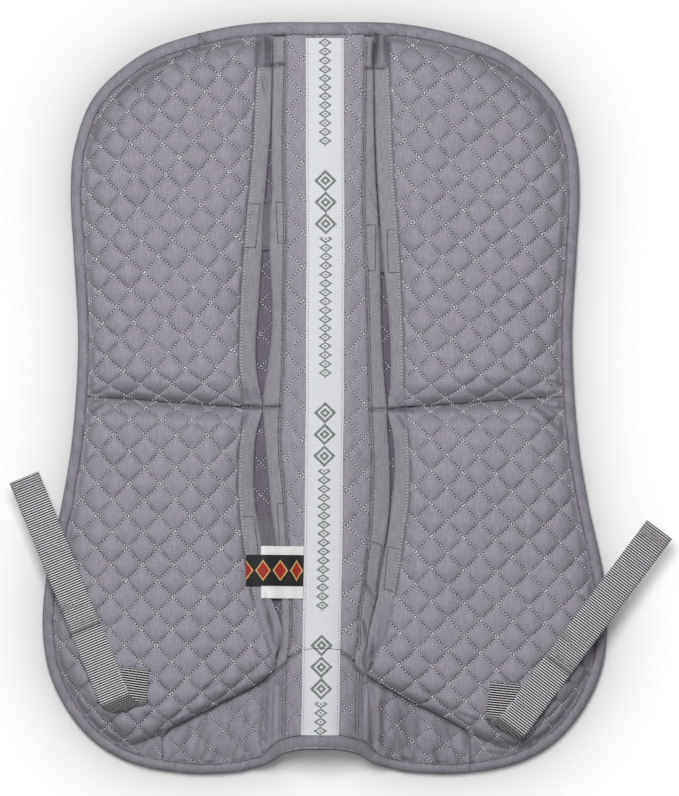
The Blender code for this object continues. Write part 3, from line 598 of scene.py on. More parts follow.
# Folds and pulled seams seen on the bands, by side: distance from the spine and y of both ends,
# width and height
bandFolds = {
    "left": [
        (29, 270.5, 57, 266, 1.3, -2.0), (53, 293, 54, 262, 1.6, -0.9),
        (49.5, 293, 48.5, 266, 1.7, 0.9), (44.6, 294, 43, 262, 1.3, -1.5),
        (40.8, 294, 40.5, 268, 1.5, 0.8), (51, 261, 46.5, 243, 0.9, -0.9),
        (49, 264, 44.8, 247, 0.9, -0.9), (53, 262, 49, 240, 1.2, 0.6),
        (33, -6.5, 52, -7.5, 1.4, -2.0), (49, -7.5, 72, -6, 1.5, -2.4), (66, 16, 62, -5, 2.2, -1.2),
        (58, 10, 50.5, -5, 1.6, -0.8), (66, -24, 61, -8, 2.0, -1.0), (52, -150, 43, -192, 1.3, -1.0),
        (47, -168, 40, -203, 1.1, -1.2), (49, -150, 40, -190, 1.3, 0.9),
        (36, -186, 37, -213, 1.0, -1.6), (33, -182, 34, -208, 1.0, 0.7),
        (41, -192, 37, -210, 0.9, 0.8), (35, -52, 42, -62, 1.2, -0.6), (37, -62, 43, -74, 1.2, 0.4),
        (60, 150, 62, 128, 3.0, -0.5), (46, 120, 58, 112, 2.5, -0.3),
    ],
    "right": [
        (29, 266.3, 53, 266.3, 1.3, -2.0), (50.5, 293, 51.5, 262, 1.5, -1.2),
        (46.5, 294, 46.0, 266, 1.6, 0.8), (40.2, 292, 38.6, 264, 1.3, -1.5),
        (35.5, 294, 35.5, 268, 1.5, 0.8), (34, -9.5, 52, -9, 1.3, -1.6),
        (49, -9, 74, -9.5, 1.5, -2.4), (56, 0, 63, -9.5, 1.2, -1.0), (58, -12, 67, -28, 1.3, -1.2),
        (30, -146, 43, -165, 1.1, -1.2), (31, -152, 42, -171, 1.0, 0.9),
        (32, -142, 44, -160, 1.0, 0.8), (33, -156, 41, -172, 0.9, -0.9),
        (30.5, -178, 34.8, -194, 1.1, -1.5), (29, -184, 33, -204, 1.1, 1.0),
        (38, -196, 41, -212, 1.0, -1.7), (41, -211, 37.4, -222, 1.0, -1.6),
        (38.5, -186, 36, -214, 1.3, 1.2), (43, -178, 41, -206, 1.2, 0.9),
        (33, -206, 36, -220, 1.0, -1.0), (36, -44, 44, -52, 1.4, -0.7), (44, 150, 36, 168, 1.2, -0.6),
        (45, 158, 37, 178, 1.1, 0.5),
    ],
}
stripFolds = {
    "left": [(22, 246, 31, 247, 0.9, -0.6), (20, 216, 30, 218, 0.8, -0.7), (22, 130, 31, 127, 1.0, 0.5)],
    "right": [
        (16, -27, 26, -29, 0.9, -0.8), (19, -36, 33, -47, 0.9, -1.0), (22, -43, 34, -51, 0.9, 0.9),
        (21, -66, 33, -72, 0.9, -1.1), (20, -91, 34, -103, 0.9, -1.0), (21, -98, 33, -110, 0.9, 0.8),
        (16, -128, 33, -134, 1.0, -1.0), (17, -150, 29, -158, 0.9, -0.8),
        (16, -163, 27, -176, 0.9, 0.8), (17, -168, 27, -182, 0.9, -0.9),
        (18, 102, 30, 100, 0.9, -0.6),
    ],
}


# Folds of the covers where they slope down: distance from the spine and y of both ends, width, height
coverFolds = {
    "left": [
        (171, 235, 139, 262, 2.1, 1.6), (152, 254, 103, 278, 2.1, 1.6), (117, 274, 83, 285, 2.0, 1.2),
        (174, 238, 142, 266, 1.8, -1.8), (155, 258, 106, 282, 1.8, -1.8),
        (176, -2, 196, -18, 1.5, -1.3), (180, -2, 200, -10, 1.3, 0.9), (182, 12, 200, 8, 1.3, -1.0),
        (116, 280, 60, 288, 2.5, -0.8), (188, 205, 178, 228, 2.0, -0.8),
        (150, -252, 120, -266, 2.2, -1.0), (182, -250, 160, -274, 2.0, -1.0),
        (100, -236, 82, -228, 2.0, -0.7), (196, -222, 178, -256, 2.4, 0.8),
    ],
    "right": [
        (166, -3, 195, -31, 1.5, -2.0), (170, -2, 199, -27, 1.6, 1.6), (178, 15, 199, 9, 1.2, -1.1),
        (180, 8, 200, 5, 1.0, 0.9), (182, -8, 201, -8, 1.2, -1.0), (150, 262, 118, 280, 2.0, -1.1),
        (176, 236, 158, 256, 2.0, 0.8), (188, -238, 166, -266, 2.0, -1.2),
        (128, -262, 104, -252, 2.0, -0.9), (90, -240, 72, -232, 2.0, -0.7),
        (160, -280, 130, -276, 1.8, -1.0), (150, -285, 128, -283, 1.6, 0.9),
    ],
}


def clothFolds(x, y, word):
    return creases(np.abs(x), y, bandFolds[word]) + creases(np.abs(x), y, coverFolds[word])


coverSeeds = {"rear_left": 11, "rear_right": 23, "front_left": 37, "front_right": 41}


def coverTop(x, y, s, t, seed, word, gaps):
    # top of a pocket cover and of its band: foam rise, slow unevenness, quilting pillows, puckers at
    # the seams and folds; the second value is how far the cloth is quilted there
    rise = coverRise(x, y, word, gaps)
    edge, slot = lineValue(mouthEdge[word], y), lineValue(slotSides[word], y, 2)
    past = np.abs(x) - edge
    quilted = smoothStep((past - 0.2) / 1.4)
    near = np.minimum(np.minimum(gaps["bound"], gaps["divider"]), gaps["bulge"])
    slope = np.exp(-np.minimum(gaps["bound"], gaps["wither"]) / 22)
    full = smoothStep(near / 8.0 + 0.25) * quilted * (1 + (0.45 + 0.4 * (x < 0) * (y > 150)) * slope)
    uneven = softNoise(x, y, 47, seed) * 0.8 * smoothStep(near / 30)
    puff = coverShape["puff"] * quiltPuff(s, t, seed) * full
    share = np.clip(-past / np.maximum(edge - slot, 1), 0, 1)
    band = 1.0 * np.sin(np.pi * share) ** 0.7 + 0.45 * softNoise(x * 0.3, y, 11, seed + 3) * (share > 0)
    groove = -0.35 * np.exp(-(past / 1.1) ** 2) \
        + 0.35 * np.sin((y + 1.2 * past) * 1.9) * np.exp(-((past + 1.6) / 1.6) ** 2)
    small = softNoise(x, y, 5, seed + 5) * 0.2 + softNoise(x, y, 12, seed + 6) * 0.35
    along = softNoise(x, y * 0.15, 6.5, seed + 7) * np.exp(-gaps["divider"] / 8)
    ringed = softNoise(x, y, 8, seed + 9) * np.exp(-np.minimum(gaps["bound"], gaps["wither"]) / 12)
    pucker = coverShape["pucker"] * (1.6 * along + ringed)
    z = layerFoot(x, y) + rise + padSize["cover"] - coverShape["seamDip"] + uneven + puff + band \
        + groove + small + pucker + clothFolds(x, y, word)
    return z, quilted


def plainTop(x, y, key):
    # the same at the lowest place of the quilting, for what lies over or under the cloth
    flat = np.zeros_like(x)
    return coverTop(x, y, flat, flat, coverSeeds[key], key.split("_")[1], seamGaps(x, y))[0]


def placed(points):
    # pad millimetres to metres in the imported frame. The tape and the front arch drift a little to the
    # left: x moves by the drift times a window that falls to 0 away from the spine.
    points = np.array(points, float)
    x, y = np.abs(points[..., 0]), points[..., 1]
    far = 27 + 83 * smoothStep((-195 - y) / 25)
    window = 1 - smoothStep((x - 17) / (far - 17))
    points[..., 0] += padSize["spineX"] + lineValue(tapeDrift, y) * window
    return points * 0.001


def addObject(name, data):
    item = bpy.data.objects.new(name, data)
    bpy.context.scene.collection.objects.link(item)
    return item


def newObject(name, points, faces, material, uv=None, sharp=40, triangles=None):
    # points in pad millimetres; faces as rows of four, triangles as rows of three
    mesh = bpy.data.meshes.new(name)
    faces = np.asarray(faces, np.int32).reshape(-1, 4)
    triangles = np.zeros((0, 3), np.int32) if triangles is None else np.asarray(triangles, np.int32)
    loops = np.concatenate([faces.ravel(), triangles.ravel()])
    totals = np.concatenate([np.full(len(faces), 4), np.full(len(triangles), 3)])
    mesh.vertices.add(len(points))
    mesh.vertices.foreach_set("co", placed(points).astype(np.float32).ravel())
    mesh.loops.add(len(loops))
    mesh.loops.foreach_set("vertex_index", loops)
    mesh.polygons.add(len(totals))
    starts = np.concatenate([[0], np.cumsum(totals)[:-1]])
    mesh.polygons.foreach_set("loop_start", starts.astype(np.int32))
    mesh.update(calc_edges=True)
    mesh.validate()
    if uv is not None:
        layer = mesh.uv_layers.new(name="UVMap")
        layer.data.foreach_set("uv", np.asarray(uv, np.float32)[loops].ravel())
    mesh.shade_smooth()
    mesh.set_sharp_from_angle(angle=math.radians(sharp))
    mesh.materials.append(material)
    return addObject(name, mesh)


def markPoints(item, name, values):
    # a number for each point, read by the materials: quilted is 1 on quilted cloth, seam 1 on a sewn line; seam also
    # holds painted shade in valleys, folds, slopes and turns
    attribute = item.data.attributes.new(name, "FLOAT", "POINT")
    attribute.data.foreach_set("value", np.asarray(values, np.float32).ravel())


def markSkins(item, name, values):
    # the same numbers on both skins of a shell
    values = np.ravel(values)
    markPoints(item, name, np.concatenate([values, values]))


def gridFaces(rows, columns, closed=False):
    # quads of a grid of points; a closed grid joins its last column to its first
    r, c = np.meshgrid(np.arange(rows - 1), np.arange(columns if closed else columns - 1), indexing="ij")
    right = (c + 1) % columns
    quad = np.stack([r * columns + c, r * columns + right, (r + 1) * columns + right,
                     (r + 1) * columns + c], -1)
    return quad.reshape(-1, 4)


def shell(name, top, bottom, faces, material, uv=None):
    # two skins over one set of quads, joined by a wall round every open edge
    count = len(top)
    corners = top[faces]
    normal = np.cross(corners[:, 1] - corners[:, 0], corners[:, 3] - corners[:, 0])
    upward = np.sum(normal * (top - bottom)[faces[:, 0]])
    if upward < 0:
        faces = faces[:, ::-1]
    edges = np.concatenate([faces[:, [k, (k + 1) % 4]] for k in range(4)]).astype(np.int64)
    key, back = edges[:, 0] * count + edges[:, 1], edges[:, 1] * count + edges[:, 0]
    rim = edges[~np.isin(key, back)]
    wall = np.stack([rim[:, 0] + count, rim[:, 1] + count, rim[:, 1], rim[:, 0]], 1)
    points = np.vstack([top, bottom])
    every = np.vstack([faces, faces[:, ::-1] + count, wall])
    doubled = None if uv is None else np.vstack([uv, uv])
    return newObject(name, points, every, material, doubled)


def gridShell(name, top, thickness, material, uv=None):
    # a sheet given as a grid of points, made thick downwards
    rows, columns = top.shape[:2]
    flat = top.reshape(-1, 3)
    bottom = flat - np.array([0, 0, 1.0]) * np.reshape(np.broadcast_to(thickness, top.shape[:2]), (-1, 1))
    return shell(name, flat, bottom, gridFaces(rows, columns), material,
                 None if uv is None else uv.reshape(-1, 2))


def declareSheet(item, top, held, rests):
    # the cut size of a sheet from its own grid: its longest row and column, and the area of its cells
    rowSteps = np.linalg.norm(np.diff(top, axis=1), axis=2)
    columnSteps = np.linalg.norm(np.diff(top, axis=0), axis=2)
    across = top[1:, 1:] - top[:-1, :-1]
    other = top[1:, :-1] - top[:-1, 1:]
    area = float(np.linalg.norm(np.cross(across, other), axis=2).sum() / 2) * 1e-6
    width, length = float(rowSteps.sum(1).max()) * 0.001, float(columnSteps.sum(0).max()) * 0.001
    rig.sheet(item, flat=(width, length), held=held, rests_on=rests, area=min(area, width * length))


def trimmedLattice(loop, lattice, fine, toPlan=None):
    # a grid along the quilting lines, cut to a closed outline: cells that stick out are dropped
    # and the edge points move to the nearest place on the outline. toPlan goes from cloth to plan.
    origin, first, second = (np.array(part, float) for part in lattice)
    basis = np.stack([first, second], 1)
    corners = np.array([[x, y] for x in (loop[:, 0].min(), loop[:, 0].max())
                        for y in (loop[:, 1].min(), loop[:, 1].max())])
    corners = (corners - origin) @ np.linalg.inv(basis).T
    low, high = np.floor(corners.min(0)).astype(int), np.ceil(corners.max(0)).astype(int)
    s = np.arange(low[0] * fine, high[0] * fine + 1) / fine
    t = np.arange(low[1] * fine, high[1] * fine + 1) / fine
    cellS, cellT = np.meshgrid(s, t, indexing="ij")
    points = origin + cellS[..., None] * first + cellT[..., None] * second
    gap, nearest = loopDistance(points, loop)
    step = np.linalg.norm(first) / fine
    inside = gap > -0.5 * step
    cells = inside[:-1, :-1] & inside[1:, :-1] & inside[1:, 1:] & inside[:-1, 1:]
    around = np.zeros(gap.shape, int)
    for di in (0, 1):
        for dj in (0, 1):
            around[di:di + cells.shape[0], dj:dj + cells.shape[1]] += cells
    edge = (around > 0) & ((around < 4) | (gap < 0))
    points[edge] = nearest[edge]
    index = np.full(gap.shape, -1)
    used = around > 0
    index[used] = np.arange(used.sum())
    quads = np.stack([index[:-1, :-1][cells], index[1:, :-1][cells], index[1:, 1:][cells],
                      index[:-1, 1:][cells]], 1)
    plan = points[used]
    cell = (plan - origin) @ np.linalg.inv(basis).T
    return {"plan": plan if toPlan is None else toPlan(plan), "cell": cell, "quads": quads, "used": used,
            "low": low, "fine": fine, "shape": gap.shape, "lattice": lattice, "toPlan": toPlan}


threadShape = {"radius": 0.43, "length": 1.3, "sink": 0.0, "jitter": 0.14, "hole": 0.42}


def stitchMesh(name, starts, ends, material, radius=None, holes=None):
    # one short thread for each pair of points: a four-sided tube with pointed ends, lifted in the middle;
    # a hole is a low dark pyramid
    rng = np.random.default_rng(len(starts))
    radius = (radius or threadShape["radius"]) * rng.uniform(0.75, 1.2, (len(starts), 1))
    shift = rng.normal(0, threadShape["jitter"], (len(starts), 3)) * np.array([1, 1, 0.2])
    starts, ends = starts + shift, ends + shift
    run = ends - starts
    length = np.linalg.norm(run, axis=1)[:, None] + 1e-9
    run = run / length
    up = np.array([0, 0, 1.0]) - run * run[:, 2:3]
    up /= np.linalg.norm(up, axis=1)[:, None]
    across = np.cross(run, up)
    middle = (starts + ends) / 2 + up * (radius * 0.5 - threadShape["sink"])
    points = [starts - up * radius * 0.4]
    for place in (-0.27, 0.27):
        centre = middle + run * length * place
        for turn in range(4):
            angle = math.pi / 2 * turn
            points.append(centre + (across * math.cos(angle) + up * math.sin(angle)) * radius)
    points.append(ends - up * radius * 0.4)
    count = len(points)
    points = np.stack(points, 1).reshape(-1, 3)
    quads, triangles = [], []
    for turn in range(4):
        after = (turn + 1) % 4
        quads.append((1 + turn, 1 + after, 5 + after, 5 + turn))
        triangles.append((0, 1 + after, 1 + turn))
        triangles.append((9, 5 + turn, 5 + after))
    shift = np.arange(len(starts))[:, None, None] * count
    quads = (np.array(quads)[None] + shift).reshape(-1, 4)
    triangles = (np.array(triangles)[None] + shift).reshape(-1, 3)
    if holes is None:
        return newObject(name, points, quads[:, ::-1], material, sharp=80, triangles=triangles[:, ::-1])
    # the needle holes are low dark pyramids, painted shade of the holes
    size = threadShape["hole"]
    foot, peak = -0.1, 0.12
    corners = np.array([(size, 0, foot), (0, -size, foot), (-size, 0, foot), (0, size, foot),
                        (0, 0, peak)])
    base = len(points)
    points = np.vstack([points, (holes[:, None, :] + corners[None]).reshape(-1, 3)])
    sides = np.array([(0, 1, 4), (1, 2, 4), (2, 3, 4), (3, 0, 4)])
    sides = (sides[None] + np.arange(len(holes))[:, None, None] * 5 + base).reshape(-1, 3)
    item = newObject(name, points, quads[:, ::-1], material, sharp=80,
                     triangles=np.vstack([triangles, sides])[:, ::-1])
    item.data.materials.append(holeShade)
    slots = np.zeros(len(item.data.polygons), np.int32)
    slots[-len(sides):] = 1
    item.data.polygons.foreach_set("material_index", slots)
    return item


def latticeStitches(grid, height, keep):
    # ends of the quilting stitches: between needle holes on every line of the lattice, on the surface
    fine, low = grid["fine"], grid["low"]
    origin, first, second = (np.array(part, float) for part in grid["lattice"])
    full = np.full(grid["shape"], np.nan)
    full[grid["used"]] = height
    pitch = 1 / stitchesPerCell
    half = threadShape["length"] / np.linalg.norm(first) / 2
    starts, ends = [], []
    for family in (0, 1):
        lines = np.arange(grid["shape"][family] // fine + 1)
        along = np.arange(0, (grid["shape"][1 - family] - 1) / fine, pitch) + pitch / 2
        line, place = np.meshgrid(lines, along, indexing="ij")
        line, place = line.ravel(), place.ravel()
        near = line * fine < grid["shape"][family]
        line, place = line[near], place[near]
        place = place - linePhase(line + low[family], family) * pitch
        both = []
        for shift in (-half, half):
            spot = place + shift
            position = np.stack([line, spot] if family == 0 else [spot, line], 1)
            flat = origin + (position[:, :1] + low[0]) * first + (position[:, 1:] + low[1]) * second
            if grid["toPlan"] is not None:
                flat = grid["toPlan"](flat)
            k = np.clip(spot * fine, 0, grid["shape"][1 - family] - 1.001)
            whole = np.floor(k).astype(int)
            part = k - whole
            row = line * fine
            if family == 0:
                z = full[row, whole] * (1 - part) + full[row, whole + 1] * part
            else:
                z = full[whole, row] * (1 - part) + full[whole + 1, row] * part
            both.append(np.column_stack([flat, z]))
        good = np.isfinite(both[0][:, 2]) & np.isfinite(both[1][:, 2])
        starts.append(both[0][good])
        ends.append(both[1][good])
    starts, ends = np.vstack(starts), np.vstack(ends)
    middle = (starts + ends) / 2
    chosen = keep(middle[:, 0], middle[:, 1])
    return starts[chosen], ends[chosen]


def seamStitches(path, height, pitch, share=0.56):
    # ends of the stitches along a sewn line that lies on a surface, and the needle holes between them
    line, places = alongPath(np.array(path, float), 0.5)
    total = places[-1]
    middle = np.arange(pitch / 2, total, pitch)
    found = []
    for shift in (-pitch * share / 2, pitch * share / 2, pitch / 2):
        spot = np.clip(middle + shift, 0, total)
        x, y = (np.interp(spot, places, column) for column in line.T)
        found.append(np.column_stack([x, y, height(x, y)]))
    return found


def sewLines(name, paths, height, pitch, material, radius=0.28):
    # one mesh of stitches and needle holes for several sewn lines
    found = [seamStitches(path, height, pitch) for path in paths]
    starts, ends, holes = (np.vstack([parts[k] for parts in found]) for k in range(3))
    return stitchMesh(name, starts, ends, material, radius=radius, holes=holes)


class Signal:
    # an output of a shader tree; each sign between it and another or a number adds one Math node
    def __init__(self, tree, socket):
        self.tree = tree
        self.socket = socket

    def calc(self, operation, *others):
        return calc(self.tree, operation, self, *others)

    def __add__(self, other):
        return self.calc("ADD", other)

    def __sub__(self, other):
        return self.calc("SUBTRACT", other)

    def __rsub__(self, other):
        return calc(self.tree, "SUBTRACT", other, self)

    def __mul__(self, other):
        return self.calc("MULTIPLY", other)

    def __truediv__(self, other):
        return self.calc("DIVIDE", other)

    def __mod__(self, other):
        return self.calc("MODULO", other)

    def __lt__(self, other):
        return self.calc("LESS_THAN", other)

    def __gt__(self, other):
        return self.calc("GREATER_THAN", other)

    def __abs__(self):
        return self.calc("ABSOLUTE")

    def __round__(self):
        return self.calc("ROUND")


def newGroup(name, inputs, outputs):
    # a shader node group with its inputs as signals and its output node
    group = bpy.data.node_groups.new(name, "ShaderNodeTree")
    for direction, sockets in (("INPUT", inputs), ("OUTPUT", outputs)):
        for label, kind in sockets:
            group.interface.new_socket(name=label, in_out=direction, socket_type=kind)
    return group, signals(group, group.nodes.new("NodeGroupInput")), group.nodes.new("NodeGroupOutput")


def signals(tree, node):
    return {socket.name: Signal(tree, socket) for socket in node.outputs}


def feed(socket, value):
    # a socket takes a link from a signal, or a plain value
    if isinstance(value, Signal):
        value.tree.links.new(value.socket, socket)
    else:
        socket.default_value = value


def calc(tree, operation, *values):
    # one Math node
    node = tree.nodes.new("ShaderNodeMath")
    node.operation = operation
    for socket, value in zip(node.inputs, values):
        feed(socket, value)
    return Signal(tree, node.outputs[0])


def mixColour(tree, share, first, second):
    node = tree.nodes.new("ShaderNodeMix")
    node.data_type = "RGBA"
    feed(node.inputs["Factor"], share)
    feed(node.inputs[6], first)
    feed(node.inputs[7], second)
    return Signal(tree, node.outputs[2])


def ramp(tree, value, low, high, start=0.0, end=1.0):
    # eased change from start to end while value goes from low to high
    node = tree.nodes.new("ShaderNodeMapRange")
    node.interpolation_type = "SMOOTHSTEP"
    feed(node.inputs["Value"], value)
    for label, number in (("From Min", low), ("From Max", high), ("To Min", start), ("To Max", end)):
        node.inputs[label].default_value = number
    return Signal(tree, node.outputs[0])


def noiseField(tree, vector, scale, detail=2.0, rough=0.5):
    node = tree.nodes.new("ShaderNodeTexNoise")
    feed(node.inputs["Vector"], vector)
    node.inputs["Scale"].default_value = scale
    node.inputs["Detail"].default_value = detail
    node.inputs["Roughness"].default_value = rough
    return Signal(tree, node.outputs["Fac"])


def axes(tree, vector):
    node = tree.nodes.new("ShaderNodeSeparateXYZ")
    feed(node.inputs[0], vector)
    return [Signal(tree, socket) for socket in node.outputs]


def stretched(tree, vector, scale):
    node = tree.nodes.new("ShaderNodeMapping")
    feed(node.inputs["Vector"], vector)
    node.inputs["Scale"].default_value = scale
    return Signal(tree, node.outputs["Vector"])


def makeClothGroup():
    # woven cotton: streaks along the warp, crossing yarns, fine fuzz and slow mottling
    group, inlet, outlet = newGroup(
        "clothGrain", [("Place", "NodeSocketVector"), ("Colour", "NodeSocketColor"),
                       ("Dark", "NodeSocketColor"), ("Streak", "NodeSocketFloat")],
        [("Colour", "NodeSocketColor"), ("Height", "NodeSocketFloat")])
    place = inlet["Place"]
    warp = noiseField(group, stretched(group, place, (820, 110, 300)), 1.0, 2.0, 0.6)
    weft = noiseField(group, stretched(group, place, (160, 1300, 300)), 1.0, 1.0)
    cloud = noiseField(group, place, 70.0, 3.0, 0.6)
    fuzz = noiseField(group, place, 900.0, 2.0, 0.8)
    yarn = warp * 0.75 + weft * 0.25
    tone = yarn * inlet["Streak"] + cloud * 0.12 + fuzz * 0.48
    share = ramp(group, tone, 0.27, 0.86)
    feed(outlet.inputs["Colour"], mixColour(group, share, inlet["Dark"], inlet["Colour"]))
    feed(outlet.inputs["Height"], yarn + fuzz * 0.5)
    return group


def makeHoleGroup():
    # painted shade of the needle holes and of the pinched seam round them, from the quilting coordinates (one unit a
    # diamond)
    group, inlet, outlet = newGroup(
        "needleHoles", [("Cell", "NodeSocketVector"), ("Quilted", "NodeSocketFloat")],
        [("Hole", "NodeSocketFloat"), ("Seam", "NodeSocketFloat")])
    cell = axes(group, inlet["Cell"])
    perCell = float(stitchesPerCell)
    holes, seams = [], []
    for across, along in ((0, 1), (1, 0)):
        line = round(cell[across])
        off = abs(cell[across] - line)
        spot = cell[along] * perCell + (line * linePhases[0] + linePhases[1] * across).calc("FRACT")
        near = abs(spot - round(spot)) / perCell
        reach = (off * off + near * near).calc("SQRT")
        holes.append(ramp(group, reach, 0.013, 0.034, 1.0, 0.0))
        seams.append(ramp(group, off, 0.0, 0.060, 1.0, 0.0))
    for label, pair in (("Hole", holes), ("Seam", seams)):
        feed(outlet.inputs[label], pair[0].calc("MAXIMUM", pair[1]) * inlet["Quilted"])
    return group


def makeRibGroup():
    # woven cross ribs and the slanting yarns that make them, from coordinates in millimetres
    group, inlet, outlet = newGroup(
        "wovenRibs", [("Place", "NodeSocketVector"), ("Pitch", "NodeSocketFloat"),
                      ("Yarn", "NodeSocketFloat")],
        [("Rib", "NodeSocketFloat"), ("Yarns", "NodeSocketFloat")])
    across, along, _ = axes(group, inlet["Place"])
    slant = across + along * 0.35
    feed(outlet.inputs["Rib"], abs((along / inlet["Pitch"] * math.pi).calc("SINE")))
    feed(outlet.inputs["Yarns"], abs((slant / inlet["Yarn"] * math.pi).calc("SINE")))
    return group


clothGrain = makeClothGroup()
needleHoles = makeHoleGroup()
wovenRibs = makeRibGroup()


def newMaterial(name, roughness, sheen=0.0):
    material = bpy.data.materials.new(name)
    material.use_nodes = True
    shader = material.node_tree.nodes["Principled BSDF"]
    shader.inputs["Roughness"].default_value = roughness
    shader.inputs["Sheen Weight"].default_value = sheen
    shader.inputs["Specular IOR Level"].default_value = 0.25
    return material, material.node_tree, shader


def placeGroup(tree, group, **values):
    node = tree.nodes.new("ShaderNodeGroup")
    node.node_tree = group
    for label, value in values.items():
        feed(node.inputs[label], value)
    return signals(tree, node)


def bumped(tree, shader, height, distance, strength=1.0):
    node = tree.nodes.new("ShaderNodeBump")
    feed(node.inputs["Height"], height)
    node.inputs["Distance"].default_value = distance
    node.inputs["Strength"].default_value = strength
    tree.links.new(node.outputs[0], shader.inputs["Normal"])


def objectPlace(tree):
    return Signal(tree, tree.nodes.new("ShaderNodeTexCoord").outputs["Object"])


def clothPlace(tree):
    # the UV coordinates: quilting cells, or millimetres on tape, webbing and labels
    node = tree.nodes.new("ShaderNodeUVMap")
    node.uv_map = "UVMap"
    return Signal(tree, node.outputs[0])


def pointValue(tree, name):
    node = tree.nodes.new("ShaderNodeAttribute")
    node.attribute_name = name
    return Signal(tree, node.outputs["Fac"])


def tinted(colour, share):
    return tuple(share * part for part in colour[:3]) + (1,)


def clothMaterial(name, colour, dark, streak=0.55, quilted=False, bump=0.00014):
    # cotton, darker along its sewn lines and with painted shade where its seam numbers carry it; with painted shade of
    # needle holes and pinched grooves along its quilting where it is quilted
    material, tree, shader = newMaterial(name, 0.88, 0.12)
    grain = placeGroup(tree, clothGrain, Place=objectPlace(tree), Colour=colour, Dark=dark, Streak=streak)
    shade, height = grain["Colour"], grain["Height"]
    if quilted:
        holes = placeGroup(tree, needleHoles, Cell=clothPlace(tree), Quilted=pointValue(tree, "quilted"))
        # painted shade in the pinched groove along each quilting line and in its needle holes
        shade = mixColour(tree, holes["Seam"] * 0.42, shade, tinted(dark, 0.7))
        shade = mixColour(tree, holes["Hole"] * 0.9, shade, tinted(dark, 0.25))
        height = height - holes["Hole"] * 2.0
    # darker along sewn lines, and painted shade in valleys, folds and slopes
    shade = mixColour(tree, pointValue(tree, "seam") * 0.6, shade, tinted(dark, 0.4))
    feed(shader.inputs["Base Color"], shade)
    bumped(tree, shader, height, bump)
    return material


def threadMaterial(name, colour, roughness=0.45):
    material, tree, shader = newMaterial(name, roughness, 0.1)
    twist = noiseField(tree, objectPlace(tree), 2600.0, 1.0)
    feed(shader.inputs["Base Color"], mixColour(tree, twist, tinted(colour, 0.75), colour))
    return material


shades = {
    "quilt": (0.470, 0.442, 0.497, 1),
    "quiltDark": (0.245, 0.227, 0.268, 1),
    "facing": (0.376, 0.356, 0.389, 1),
    "facingDark": (0.205, 0.191, 0.218, 1),
    "binding": (0.362, 0.342, 0.390, 1),
    "bindingDark": (0.204, 0.190, 0.225, 1),
    # the lining's own purple grey, darkened further as painted shade of the slots it is seen in
    "lining": (0.205, 0.186, 0.232, 1),
    "liningDark": (0.110, 0.096, 0.132, 1),
    "thread": (0.98, 0.97, 0.99, 1),
    "paleThread": (0.86, 0.84, 0.88, 1),
    "tonalThread": (0.10, 0.09, 0.105, 1),
    "tapeWhite": (0.82, 0.83, 0.86, 1),
    "tapeGrey": (0.62, 0.635, 0.66, 1),
    "ornament": (0.135, 0.155, 0.145, 1),
    "webbing": (0.98, 0.95, 0.98, 1),
    # near black of the hollows between the webbing's ribs, painted shade
    "webbingDark": (0.012, 0.010, 0.012, 1),
    # painted shade of the needle holes
    "hole": (0.030, 0.026, 0.034, 1),
    # the tongue's cloth darkened as painted shade of the slot it lies in
    "tongue": (0.215, 0.202, 0.226, 1),
    # painted shade of webbing where it turns
    "turnShade": (0.060, 0.050, 0.052, 1),
    "hook": (0.22, 0.21, 0.23, 1),
    "foam": (0.74, 0.67, 0.44, 1),
    "foamDark": (0.52, 0.45, 0.27, 1),
    "label": (0.90, 0.90, 0.90, 1),
    "darkLabel": (0.012, 0.012, 0.014, 1),
    "labelRed": (0.42, 0.02, 0.015, 1),
    "labelGold": (0.70, 0.52, 0.18, 1),
}

quiltCloth = clothMaterial("quiltCloth", shades["quilt"], shades["quiltDark"], streak=0.42, quilted=True)
facingCloth = clothMaterial("facingCloth", shades["facing"], shades["facingDark"])
bindingCloth = clothMaterial("bindingCloth", shades["binding"], shades["bindingDark"])
shadedTongueCloth = clothMaterial("shadedTongueCloth", shades["tongue"], tinted(shades["tongue"], 0.6))
shadedLiningCloth = clothMaterial("shadedLiningCloth", shades["lining"], shades["liningDark"], quilted=True)
quiltThread = threadMaterial("quiltThread", shades["thread"])
paleThread = threadMaterial("paleThread", shades["paleThread"])
seamThread = threadMaterial("seamThread", shades["tonalThread"], 0.6)
holeShade = threadMaterial("needleHoleShade", shades["hole"], 0.9)
print("materials made")


def mirrorLoop(half, word):
    return half if word == "right" else (half * mirror)[::-1]


def stations(low, high, step=4.0):
    return np.linspace(low, high, max(2, int(round((high - low) / step)) + 1))


def column(x, y):
    return np.stack(np.broadcast_arrays(np.asarray(x, float), np.asarray(y, float)), 1)


def rimPart(test):
    return rimHalf[test(rimHalf[:, 0], rimHalf[:, 1])]


def joinHalves(item, reach=20):
    # cloth that crosses the spine bends with the fold of the pad
    spine = padSize["spineX"]
    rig.blend(item, "left_half", "right_half", start=((spine - reach) * 0.001, 0, 0.015),
             end=((spine + reach) * 0.001, 0, 0.015))


joinGap = 0.06          # what shows of the gap between two pieces that are sewn together


def slotX(word, y, outer=True):
    return lineValue(slotSides[word], y, 2 if outer else 1)


